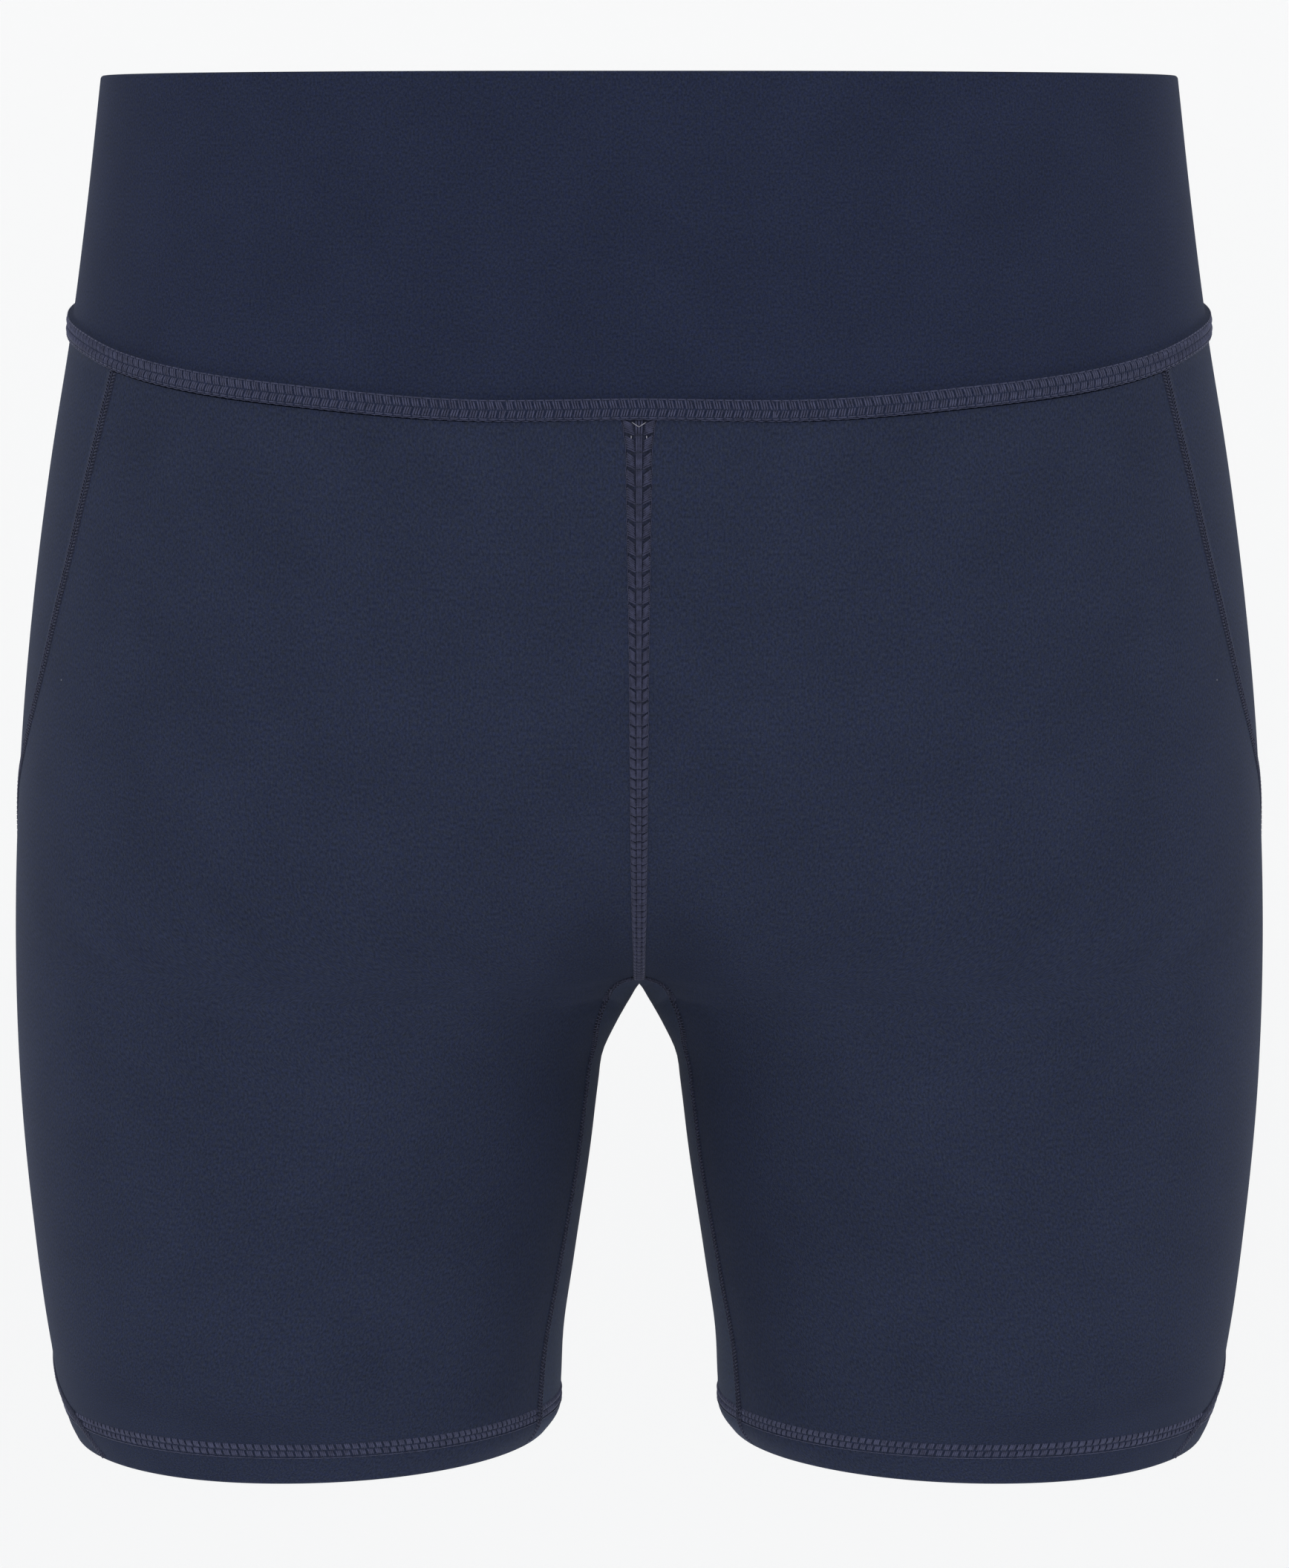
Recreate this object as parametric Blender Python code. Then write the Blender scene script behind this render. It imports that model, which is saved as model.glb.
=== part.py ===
"""High-waisted, close-fitting cycling shorts, hollow and filled out as if worn.

Metres, +Z up, +X across the body, the front facing -Y. The origin is the middle of the waist opening,
at the level of its top edge. Each sewn piece is a thin wall of cloth on one shared body surface:
body(z, turn) is the point at level z, and turn runs round one half of the body or round one leg:
0 at the centre front or the innermost point, 1 at the front-most point, 2 at the side, 3 at the
back-most point and 4 at the centre back or the innermost point again.
"""

from typing import NamedTuple

import bmesh
import bpy
import numpy as np

# Heights
HEM_Z = -0.4305
CROTCH_Z = -0.2863
GUSSET_TIP_Z = -0.2800
SIDE_AT_TIP_Z = -0.268

# Cloth
PANEL_WALL = 0.0014
HEM_EXTRA = 0.0010
HEM_DEPTH = 0.0138
BAND_WALL = 0.0022
SEAM_RIDGE = 0.0016
SEAM_WIDTH = 0.0063
SEAM_GAP = 0.0003
WAIST_SEAM_REFERENCE_Z = -0.085
BAND_REFERENCE_Z = -0.05

# Shape of the sections and of the curves through the crotch
ROUNDNESS = 2.12
FRONT_RISE_START_Z, FRONT_RISE_POWER = -0.165, 2.4
BACK_RISE_START_Z, BACK_RISE_POWER = -0.150, 2.6
CLEFT_SOFTNESS_TOP, CLEFT_SOFTNESS_CROTCH = 0.60, 0.04
CLEFT_END_Z = -0.310

# Mesh spacing
BAND_STATIONS = 36
BAND_ROWS = 6
TORSO_ROWS = 14
LEG_ROWS = 13
PANEL_COLUMNS = 13
SIDE_COLUMNS = 5
GUSSET_COLUMNS = 7
FINE_STEPS = 90
GUSSET_ROW_CROWDING, SIDE_ROW_CROWDING = 1.3, 1.2
WAIST_BOW_ROWS = 7
TURN_STEP, HEIGHT_STEP = 0.02, 0.0008
SHARP_DEGREES = 40


class Level(NamedTuple):
    """A horizontal section: half widths and depths of the body, and where its fullest points lie."""

    z: float
    side_x: float
    front_x: float
    front_y: float
    back_x: float
    back_y: float


LEVELS = (
    Level(0.0000, 0.1689, 0.020, 0.106, 0.024, 0.112),
    Level(-0.0400, 0.1735, 0.026, 0.111, 0.032, 0.118),
    Level(-0.0800, 0.1789, 0.034, 0.115, 0.042, 0.125),
    Level(-0.1200, 0.1855, 0.046, 0.118, 0.054, 0.131),
    Level(-0.1600, 0.1909, 0.058, 0.119, 0.066, 0.135),
    Level(-0.2000, 0.1949, 0.072, 0.117, 0.078, 0.135),
    Level(-0.2400, 0.1973, 0.086, 0.113, 0.088, 0.130),
    Level(-0.2800, 0.1980, 0.096, 0.1090, 0.097, 0.1225),
    Level(-0.3200, 0.1968, 0.101, 0.1050, 0.101, 0.1150),
    Level(-0.3600, 0.1934, 0.103, 0.1010, 0.103, 0.1085),
    Level(-0.4000, 0.1882, 0.104, 0.0970, 0.104, 0.1025),
    Level(-0.4200, 0.1843, 0.106, 0.0946, 0.105, 0.0995),
    Level(-0.4305, 0.1798, 0.109, 0.0922, 0.106, 0.0975),
)


class InnerLeg(NamedTuple):
    """How far the innermost point of the leg lies from the middle of the body."""

    z: float
    inner_x: float


INNER_LEG = (
    InnerLeg(CROTCH_Z, 0.0),
    InnerLeg(-0.2900, 0.0019),
    InnerLeg(-0.2995, 0.0072),
    InnerLeg(-0.3090, 0.0116),
    InnerLeg(-0.3190, 0.0131),
    InnerLeg(-0.3380, 0.0154),
    InnerLeg(-0.3760, 0.0210),
    InnerLeg(-0.4000, 0.0244),
    InnerLeg(-0.4150, 0.0251),
    InnerLeg(-0.4240, 0.0257),
    InnerLeg(-0.4305, 0.0300),
)


class SeamAngle(NamedTuple):
    """The middle of the waist seam at an angle round the body, from the centre front."""

    degrees: float
    z: float


WAIST_SEAM = (
    SeamAngle(0, -0.1001),
    SeamAngle(15, -0.1004),
    SeamAngle(31, -0.0967),
    SeamAngle(44, -0.0929),
    SeamAngle(57, -0.0878),
    SeamAngle(67, -0.0832),
    SeamAngle(85, -0.0773),
    SeamAngle(125, -0.0690),
    SeamAngle(180, -0.0660),
)


class SideSeam(NamedTuple):
    """The angles, from the front of the section, of the two seams of the side panel."""

    z: float
    front_degrees: float
    back_degrees: float


SIDE_SEAMS = (
    SideSeam(-0.0700, 57.5, 113.0),
    SideSeam(-0.0880, 58.5, 113.5),
    SideSeam(-0.1230, 60.6, 115.0),
    SideSeam(-0.1600, 64.3, 118.0),
    SideSeam(-0.1980, 72.0, 122.5),
    SideSeam(-0.2120, 77.5, 124.5),
    SideSeam(-0.2260, 85.0, 126.5),
    SideSeam(-0.2500, 91.5, 129.5),
    SideSeam(-0.2900, 95.5, 133.0),
    SideSeam(-0.3500, 97.0, 135.0),
    SideSeam(-0.3900, 95.5, 136.0),
    SideSeam(-0.4060, 88.5, 136.5),
    SideSeam(-0.4155, 72.0, 137.0),
    SideSeam(-0.4205, 62.5, 137.0),
    SideSeam(-0.4250, 57.5, 137.0),
    SideSeam(-0.4305, 52.0, 137.0),
)


class GussetSeam(NamedTuple):
    """The front edge of the gusset, from its tip in the middle down to the hem; the back is alike."""

    z: float
    turn: float


GUSSET_SEAM = (
    GussetSeam(GUSSET_TIP_Z, 0.0),
    GussetSeam(-0.2803, 0.160),
    GussetSeam(-0.2822, 0.262),
    GussetSeam(-0.2885, 0.290),
    GussetSeam(-0.2955, 0.270),
    GussetSeam(-0.3036, 0.215),
    GussetSeam(-0.3110, 0.190),
    GussetSeam(-0.3290, 0.188),
    GussetSeam(-0.3450, 0.192),
    GussetSeam(-0.3810, 0.221),
    GussetSeam(-0.4070, 0.246),
    GussetSeam(HEM_Z, 0.262),
)
PLAIN_GUSSET_ROW = 3
GUSSET_SAG, GUSSET_SAG_REACH = 0.0085, 0.013

LAST_ROWS_ABOVE_HEM = (0.0270, 0.0215, 0.0180, 0.0150, HEM_DEPTH, 0.0100, 0.0065, 0.0030, 0.0)


class BandPoint(NamedTuple):
    """A corner of the waistband's section: height above its lower edge and distance out of the body."""

    up: float
    out: float


RIDGE = (
    BandPoint(0.0, 0.6 * SEAM_RIDGE),
    BandPoint(0.0012, SEAM_RIDGE),
    BandPoint(SEAM_WIDTH - 0.0008, SEAM_RIDGE),
    BandPoint(SEAM_WIDTH, 0.4 * SEAM_RIDGE),
    BandPoint(SEAM_WIDTH + 0.0008, 0.0),
)


class Cloth(NamedTuple):
    """A material of the shorts: linear colour and roughness."""

    colour: tuple
    roughness: float


KNIT = Cloth((0.0195, 0.0262, 0.0510), 0.82)
BAND_KNIT = Cloth((0.0190, 0.0255, 0.0495), 0.84)
GUSSET_KNIT = Cloth((0.0200, 0.0268, 0.0520), 0.82)


def smooth(where, knots, values):
    """A smooth curve through a table: cubic pieces that share their slope at each row."""
    order = np.argsort(knots)
    knots, values = np.asarray(knots, float)[order], np.asarray(values, float)[order]
    slopes = np.gradient(values, knots)
    where = np.clip(where, knots[0], knots[-1])
    i = np.clip(np.searchsorted(knots, where) - 1, 0, len(knots) - 2)
    span = knots[i + 1] - knots[i]
    t = (where - knots[i]) / span
    return (
        values[i] * (1 + 2 * t) * (1 - t) ** 2
        + values[i + 1] * t**2 * (3 - 2 * t)
        + span * slopes[i] * t * (1 - t) ** 2
        - span * slopes[i + 1] * t**2 * (1 - t)
    )


def column(rows, where, name):
    """A named column of a table, read smoothly; the table's first column is the place."""
    return smooth(where, [row[0] for row in rows], [getattr(row, name) for row in rows])


def rise(z, start_z, power):
    """The share of the section's depth that is left at the middle, down to none at the crotch."""
    t = np.clip((start_z - z) / (start_z - CROTCH_Z), 0, 1)
    return (1 - t**power) ** (1 / power)


def cleft_softness(z):
    """How widely the middle of a section is rounded: wide over the belly, narrow at the crotch."""
    above = np.clip((z - CROTCH_Z) / (FRONT_RISE_START_Z - CROTCH_Z), 0, 1)
    below = np.clip((z - CLEFT_END_Z) / (CROTCH_Z - CLEFT_END_Z), 0, 1)
    soft = CLEFT_SOFTNESS_CROTCH + (CLEFT_SOFTNESS_TOP - CLEFT_SOFTNESS_CROTCH) * above
    return np.maximum(soft * below, 1e-6)


def inner_arc(step, inner_x, full_x, full_y, middle_y, soft):
    """From the middle (step 0) to the fullest point (step 1): an ellipse, rounded off at the middle."""
    across = 1 - np.cos(step * np.pi / 2)
    rounded = (np.sqrt(across**2 + soft**2) - soft) / (np.sqrt(1 + soft**2) - soft)
    depth = np.sqrt(middle_y**2 + (full_y**2 - middle_y**2) * (2 * rounded - rounded**2))
    return inner_x + (full_x - inner_x) * across, depth


def outer_arc(step, side_x, full_x, full_y):
    """From the fullest point (step 0) to the side (step 1): a quarter of a squarish ellipse."""
    angle = np.clip(step, 0, 1) * np.pi / 2
    x = full_x + (side_x - full_x) * np.sin(angle) ** (2 / ROUNDNESS)
    return x, full_y * np.cos(angle) ** (2 / ROUNDNESS)


def body(z, turn):
    """Points of the body's surface on the right half; just past the middle it goes on to the left."""
    z, turn = np.broadcast_arrays(np.asarray(z, float), np.asarray(turn, float))
    beyond = (turn < 0) | (turn > 4)
    above = z > CROTCH_Z
    mirrored = np.where(turn < 0, -turn, np.where(turn > 4, 8 - turn, turn))
    t = np.where(beyond & ~above, np.mod(turn, 4), mirrored)
    side = np.where(beyond & above, -1.0, 1.0)
    level = {name: column(LEVELS, z, name) for name in Level._fields[1:]}
    inner_x = np.where(above, 0, column(INNER_LEG, z, "inner_x"))
    soft = cleft_softness(z)
    front_middle = level["front_y"] * rise(z, FRONT_RISE_START_Z, FRONT_RISE_POWER)
    back_middle = level["back_y"] * rise(z, BACK_RISE_START_Z, BACK_RISE_POWER)
    front_in = inner_arc(np.clip(t, 0, 1), inner_x, level["front_x"], level["front_y"], front_middle, soft)
    back_in = inner_arc(np.clip(4 - t, 0, 1), inner_x, level["back_x"], level["back_y"], back_middle, soft)
    front_out = outer_arc(t - 1, level["side_x"], level["front_x"], level["front_y"])
    back_out = outer_arc(3 - t, level["side_x"], level["back_x"], level["back_y"])
    arcs = [t <= 1, t <= 2, t <= 3]
    x = np.select(arcs, [front_in[0], front_out[0], back_out[0]], back_in[0])
    y = np.select(arcs, [-front_in[1], -front_out[1], back_out[1]], back_in[1])
    return np.stack([side * x, y, z], axis=-1)


def body_normal(z, turn):
    """The outward direction of the body's surface, from small steps round it and up it."""
    around = body(z, turn + TURN_STEP) - body(z, turn - TURN_STEP)
    up = body(z + HEIGHT_STEP, turn) - body(z - HEIGHT_STEP, turn)
    out = np.cross(around, up)
    return out / np.linalg.norm(out, axis=-1, keepdims=True)


def waist_seam(turn):
    """The level of the middle of the waist seam, by the angle round the body."""
    level = WAIST_SEAM_REFERENCE_Z
    x, y, _ = np.moveaxis(body(np.full(np.shape(turn), level), turn), -1, 0)
    deep = np.where(y < 0, column(LEVELS, level, "front_y"), column(LEVELS, level, "back_y"))
    degrees = np.degrees(np.arctan2(x / column(LEVELS, level, "side_x"), -y / deep))
    return column(WAIST_SEAM, degrees, "z")


def panel_top(turn):
    """The upper edge of the panels: just under the waistband."""
    return waist_seam(turn) - SEAM_WIDTH / 2 - SEAM_GAP


def evenly(points, count):
    """Fractions of the way along each row of finely stepped points that space them evenly."""
    steps = np.linalg.norm(np.diff(points, axis=-2), axis=-1)
    along = np.concatenate([[0], np.cumsum(steps)]) / steps.sum()
    return np.interp(np.linspace(0, 1, count), along, np.linspace(0, 1, len(along)))


def last_rows():
    """The levels of the closer rows at the bottom of the leg, down to the hem's edge."""
    return HEM_Z + np.array(LAST_ROWS_ABOVE_HEM)


def gusset_stations():
    """Levels and turns along the gusset's edge from its tip to the hem, closer near the tip."""
    fine = np.linspace(0, len(GUSSET_SEAM) - 1, FINE_STEPS * 4)
    index = np.arange(len(GUSSET_SEAM))
    z = smooth(fine, index, [row.z for row in GUSSET_SEAM])
    turn = smooth(fine, index, [row.turn for row in GUSSET_SEAM])
    upper = z >= last_rows()[0]
    z, turn = z[upper], turn[upper]
    points = body(z, turn)
    along = np.concatenate([[0], np.cumsum(np.linalg.norm(np.diff(points, axis=0), axis=1))])
    stops = along[-1] * np.linspace(0, 1, LEG_ROWS) ** GUSSET_ROW_CROWDING
    z, turn = np.interp(stops, along, z), np.interp(stops, along, turn)
    last_turns = column(GUSSET_SEAM[PLAIN_GUSSET_ROW:], last_rows(), "turn")
    return np.concatenate([z[:-1], last_rows()]), np.concatenate([turn[:-1], last_turns])


def side_levels(top_z):
    """Levels of the rows where they meet a side seam, matching the rows of the inner edge."""
    torso = np.linspace(top_z, SIDE_AT_TIP_Z, TORSO_ROWS)
    down = np.linspace(0, 1, LEG_ROWS) ** SIDE_ROW_CROWDING
    leg = SIDE_AT_TIP_Z + (last_rows()[0] - SIDE_AT_TIP_Z) * down
    return np.concatenate([torso, leg[1:-1], last_rows()])


def inner_edge(middle_turn):
    """Levels and turns of the rows at the middle seam and then along the gusset."""
    z, turn = gusset_stations()
    torso = np.linspace(panel_top(np.array([middle_turn]))[0], GUSSET_TIP_Z, TORSO_ROWS)
    middle = np.full(TORSO_ROWS - 1, float(middle_turn))
    turns = turn if middle_turn == 0 else 4 - turn
    return np.concatenate([torso[:-1], z]), np.concatenate([middle, turns])


def side_edge(which):
    """Levels and turns of the rows at the front or back seam of the side panel."""
    top = SIDE_SEAMS[0]
    first = 1 + getattr(top, which) / 90
    z = side_levels(panel_top(np.array([first]))[0])
    return z, 1 + column(SIDE_SEAMS, z, which) / 90


def cloth_grid(start, end, columns):
    """Rows of levels and turns from one edge to the other; the top rows follow the waist seam."""
    fine = np.linspace(0, 1, FINE_STEPS)
    levels, turns = [], []
    for row, (z0, t0, z1, t1) in enumerate(zip(*start, *end)):
        turn = t0 + (t1 - t0) * fine
        fade = max(0.0, 1 - row / WAIST_BOW_ROWS) ** 2
        bow = panel_top(turn) - np.interp(fine, [0, 1], panel_top(np.array([t0, t1])))
        z = z0 + (z1 - z0) * fine + fade * bow
        stops = evenly(body(z, turn), columns)
        levels.append(np.interp(stops, fine, z))
        turns.append(np.interp(stops, fine, turn))
    return np.array(levels), np.array(turns)


def wall_at(z):
    """The thickness of the cloth: one layer, and two in the turned hem."""
    return PANEL_WALL + HEM_EXTRA * (z <= HEM_Z + HEM_DEPTH + 1e-6)


def part_edges(points, out):
    """Points whose first and last columns are moved in, square to the seam, by half the seam's gap."""
    moved = points.copy()
    for edge, towards in ((0, 1), (-1, -1)):
        along = np.gradient(points[:, edge], axis=0)
        inward = towards * np.cross(out[:, edge], along)
        moved[:, edge] += SEAM_GAP / 2 * inward / np.linalg.norm(inward, axis=-1, keepdims=True)
    return moved


def grid_faces(index, closed_rows=False, closed_columns=False):
    """Quads between neighbouring points of a grid of point numbers."""
    if closed_rows:
        index = np.vstack([index, index[:1]])
    if closed_columns:
        index = np.hstack([index, index[:, :1]])
    corners = (index[:-1, :-1], index[:-1, 1:], index[1:, 1:], index[1:, :-1])
    return np.stack(corners, axis=-1).reshape(-1, 4)


def add_piece(name, points, faces, cloth):
    """A closed mesh object with its faces outwards and its own material."""
    mesh = bpy.data.meshes.new(name)
    mesh.from_pydata(points.tolist(), [], faces.tolist())
    work = bmesh.new()
    work.from_mesh(mesh)
    bmesh.ops.recalc_face_normals(work, faces=work.faces)
    work.to_mesh(mesh)
    work.free()
    mesh.shade_smooth()
    mesh.set_sharp_from_angle(angle=np.radians(SHARP_DEGREES))
    material = bpy.data.materials.new(name + "_cloth")
    material.use_nodes = True
    shader = material.node_tree.nodes["Principled BSDF"]
    shader.inputs["Base Color"].default_value = (*cloth.colour, 1.0)
    shader.inputs["Roughness"].default_value = cloth.roughness
    shader.inputs["Metallic"].default_value = 0.0
    mesh.materials.append(material)
    piece = bpy.data.objects.new(name, mesh)
    collection.objects.link(piece)
    return piece


def add_wall(name, outer, inner, cloth):
    """A sheet of cloth: its outer and inner faces and the rim between them."""
    index = np.arange(outer.shape[0] * outer.shape[1]).reshape(outer.shape[:2])
    behind = index + index.size
    rim = np.concatenate([index[0], index[1:, -1], index[-1, -2::-1], index[-2:0:-1, 0]])
    ring = np.stack([rim, np.roll(rim, -1)], axis=1)
    rim_faces = np.hstack([ring, ring[:, ::-1] + index.size])
    faces = np.concatenate([grid_faces(index), grid_faces(behind)[:, ::-1], rim_faces])
    points = np.concatenate([outer.reshape(-1, 3), inner.reshape(-1, 3)])
    return add_piece(name, points, faces, cloth)


def mirror_x(points):
    """The same points on the left half of the body."""
    return points * np.array([-1.0, 1.0, 1.0])


def add_pair(name, start, end, columns, cloth):
    """A panel on the right half, and its mirrored twin on the left."""
    z, turn = cloth_grid(start, end, columns)
    outer, out = body(z, turn), body_normal(z, turn)
    inner = outer - wall_at(z)[..., None] * out
    outer, inner = part_edges(outer, out), part_edges(inner, out)
    add_wall(name + "_right", outer, inner, cloth)
    add_wall(name + "_left", mirror_x(outer), mirror_x(inner), cloth)


def band_ring():
    """Turns evenly spaced round one half of the waistband, centre front to centre back."""
    fine = np.linspace(0, 4, FINE_STEPS * 4)
    return 4 * evenly(body(np.full(fine.shape, BAND_REFERENCE_Z), fine), BAND_STATIONS + 1)


def add_waistband():
    """A closed band with a rounded top edge and a raised seam round its lower edge."""
    turn = band_ring()
    low = waist_seam(turn) - SEAM_WIDTH / 2
    corner = BAND_WALL / 3
    start = low + RIDGE[-1].up
    steps = np.arange(BAND_ROWS + 1) / BAND_ROWS
    rows = [(low + point.up, point.out) for point in RIDGE]
    rows += [(start + (-corner - start) * step, 0.0) for step in steps[1:]]
    rows += [(0 * low, -corner), (0 * low, corner - BAND_WALL)]
    rows += [(-corner + (low + corner) * step, -BAND_WALL) for step in steps]
    z = np.array([row[0] for row in rows])
    out = np.array([row[1] for row in rows])[:, None, None]
    turn = np.broadcast_to(turn, z.shape)
    right = body(z, turn) + out * body_normal(z, turn)
    ring = np.concatenate([right, mirror_x(right)[:, -2:0:-1]], axis=1)
    index = np.arange(ring.shape[0] * ring.shape[1]).reshape(ring.shape[:2])
    faces = grid_faces(index, closed_rows=True, closed_columns=True)
    add_piece("waistband", ring.reshape(-1, 3), faces, BAND_KNIT)


def gusset_middle(z, turn):
    """The line along the gusset's middle: it hangs a little lower than the edges near the crotch."""
    drop = GUSSET_TIP_Z - CROTCH_Z + GUSSET_SAG * turn
    middle_z = z - drop * np.exp(-(((z - GUSSET_TIP_Z) / GUSSET_SAG_REACH) ** 2))
    inner_x = column(INNER_LEG, middle_z, "inner_x")
    return np.stack([inner_x, np.zeros_like(inner_x), middle_z], axis=-1)


def add_gusset():
    """One strip from hem to hem across the crotch, each cross line a parabola between its edges."""
    z, turn = gusset_stations()
    front, back, middle = body(z, turn), body(z, 4 - turn), gusset_middle(z, turn)
    v = np.linspace(-1, 1, GUSSET_COLUMNS)[:, None]
    right = middle[:, None] + v * (back - front)[:, None] / 2 + v**2 * ((back + front) / 2 - middle)[:, None]
    outer = np.concatenate([right[::-1], mirror_x(right)[1:]])
    along, over = np.gradient(outer, axis=0, edge_order=2), np.gradient(outer, axis=1, edge_order=2)
    out = np.cross(along, over)
    out /= np.linalg.norm(out, axis=-1, keepdims=True)
    levels = np.concatenate([z[::-1], z[1:]])
    inner = outer - wall_at(levels)[:, None, None] * out
    add_wall("gusset", part_edges(outer, out), part_edges(inner, out), GUSSET_KNIT)


for old in list(bpy.data.objects):
    bpy.data.objects.remove(old, do_unlink=True)
collection = bpy.data.collections.new("cycling_shorts")
bpy.context.scene.collection.children.link(collection)

add_waistband()
front_seam, back_seam = side_edge("front_degrees"), side_edge("back_degrees")
add_pair("front", inner_edge(0), front_seam, PANEL_COLUMNS, KNIT)
add_pair("side", front_seam, back_seam, SIDE_COLUMNS, KNIT)
add_pair("back", back_seam, inner_edge(4), PANEL_COLUMNS, KNIT)
add_gusset()
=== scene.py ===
"""Navy cycling shorts, filled out as if worn: cloth shells, flatlock and hem stitching, studio light.

Metres, +Z up, the front facing -Y, and the origin in the middle of the waist opening, as in the frame.
Every piece lies on one surface, BodyForm.points(z, turn): z is the level, and turn runs round one half of
the body or round one leg, 0 at the centre front or innermost point, 2 at the side, 4 at the centre back.
"""

import logging
from dataclasses import dataclass
from enum import Enum
from typing import Callable, NamedTuple, Sequence

import bmesh
import bpy
import numpy as np
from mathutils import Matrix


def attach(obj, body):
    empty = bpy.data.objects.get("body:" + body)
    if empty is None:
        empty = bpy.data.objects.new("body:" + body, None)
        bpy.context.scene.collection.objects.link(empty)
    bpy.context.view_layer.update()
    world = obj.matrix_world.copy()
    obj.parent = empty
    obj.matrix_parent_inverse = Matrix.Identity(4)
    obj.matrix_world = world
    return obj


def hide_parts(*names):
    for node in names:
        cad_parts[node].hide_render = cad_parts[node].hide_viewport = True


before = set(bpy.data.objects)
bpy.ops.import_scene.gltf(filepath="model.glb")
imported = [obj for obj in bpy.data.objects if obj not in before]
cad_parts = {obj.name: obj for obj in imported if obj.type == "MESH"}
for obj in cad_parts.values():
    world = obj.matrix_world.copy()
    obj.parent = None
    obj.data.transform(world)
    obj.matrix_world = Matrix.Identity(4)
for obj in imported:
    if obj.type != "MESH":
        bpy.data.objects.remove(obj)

Array = np.ndarray
Triple = tuple[float, float, float]
MM_PER_M = 1000.0
log = logging.getLogger("shorts")


def smooth(where: Array, knots: Sequence[float], values: Sequence[float]) -> Array:
    """A smooth curve through a table: cubic pieces that share their slope at each row.

    Args:
        where: the places to read.
        knots: the table's places, in either order.
        values: the table's values.

    Returns:
        The curve's value at each place, held level past the table's ends.
    """
    order = np.argsort(knots)
    x, y = np.asarray(knots, float)[order], np.asarray(values, float)[order]
    slopes = np.gradient(y, x)
    at = np.clip(where, x[0], x[-1])
    i = np.clip(np.searchsorted(x, at) - 1, 0, len(x) - 2)
    span = x[i + 1] - x[i]
    t = (at - x[i]) / span
    ends = y[i] * (1 + 2 * t) * (1 - t) ** 2 + y[i + 1] * t**2 * (3 - 2 * t)
    return ends + span * t * (1 - t) * (slopes[i] * (1 - t) - slopes[i + 1] * t)


@dataclass(frozen=True)
class Table:
    """Rows of measures with named columns; the first column is the place where the others are read."""

    names: tuple[str, ...]
    rows: tuple[tuple[float, ...], ...]

    def column(self, name: str) -> list[float]:
        """A column's values, row by row."""
        return [row[self.names.index(name)] for row in self.rows]

    def read(self, where: Array, name: str, first_row: int = 0) -> Array:
        """A column read smoothly at any place, from a first row on."""
        return smooth(where, self.column(self.names[0])[first_row:], self.column(name)[first_row:])


HEM_Z = -0.4305
CROTCH_Z = -0.2863
GUSSET_TIP_Z = -0.2800
SIDE_AT_TIP_Z = -0.268
WAIST_SEAM_WIDTH = 0.0063
WAIST_RIDGE_HEIGHT = 0.0074

# Horizontal sections: half widths and depths of the body, and where its fullest points lie.
LEVELS = Table(("z", "side_x", "front_x", "front_y", "back_x", "back_y"), (
    (0.0, 0.1689, 0.020, 0.106, 0.024, 0.112),
    (-0.0400, 0.1735, 0.026, 0.111, 0.032, 0.118),
    (-0.0800, 0.1789, 0.034, 0.115, 0.042, 0.125),
    (-0.1200, 0.1855, 0.046, 0.118, 0.054, 0.131),
    (-0.1600, 0.1909, 0.058, 0.119, 0.066, 0.135),
    (-0.2000, 0.1949, 0.072, 0.117, 0.078, 0.135),
    (-0.2400, 0.1973, 0.086, 0.113, 0.088, 0.130),
    (-0.2800, 0.1980, 0.096, 0.1090, 0.097, 0.1225),
    (-0.3200, 0.1968, 0.101, 0.1050, 0.101, 0.1150),
    (-0.3600, 0.1934, 0.103, 0.1010, 0.103, 0.1085),
    (-0.4000, 0.1882, 0.104, 0.0970, 0.104, 0.1025),
    (-0.4200, 0.1843, 0.106, 0.0946, 0.105, 0.0995),
    (HEM_Z, 0.1798, 0.109, 0.0922, 0.106, 0.0975),
))
# How far the innermost point of the leg lies from the middle of the body.
INNER_LEG = Table(("z", "inner_x"), (
    (CROTCH_Z, 0.0),
    (-0.2900, 0.0019),
    (-0.2995, 0.0072),
    (-0.3090, 0.0116),
    (-0.3190, 0.0131),
    (-0.3380, 0.0154),
    (-0.3760, 0.0210),
    (-0.4000, 0.0244),
    (-0.4150, 0.0251),
    (-0.4240, 0.0257),
    (HEM_Z, 0.0300),
))
# The middle of the waist seam at an angle round the body, from the centre front.
WAIST_SEAM = Table(("degrees", "z"), (
    (0, -0.1001),
    (15, -0.1004),
    (31, -0.0967),
    (44, -0.0929),
    (57, -0.0878),
    (67, -0.0832),
    (85, -0.0773),
    (125, -0.0690),
    (180, -0.0660),
))
# The angles, from the front of the section, of the two seams of the side panel.
SIDE_SEAMS = Table(("z", "front", "back"), (
    (-0.0700, 57.5, 113.0),
    (-0.0880, 58.5, 113.5),
    (-0.1230, 60.6, 115.0),
    (-0.1600, 64.3, 118.0),
    (-0.1980, 72.0, 122.5),
    (-0.2120, 77.5, 124.5),
    (-0.2260, 85.0, 126.5),
    (-0.2500, 91.5, 129.5),
    (-0.2900, 95.5, 133.0),
    (-0.3500, 97.0, 135.0),
    (-0.3900, 95.5, 136.0),
    (-0.4060, 88.5, 136.5),
    (-0.4155, 72.0, 137.0),
    (-0.4205, 62.5, 137.0),
    (-0.4250, 57.5, 137.0),
    (HEM_Z, 52.0, 137.0),
))
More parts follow.
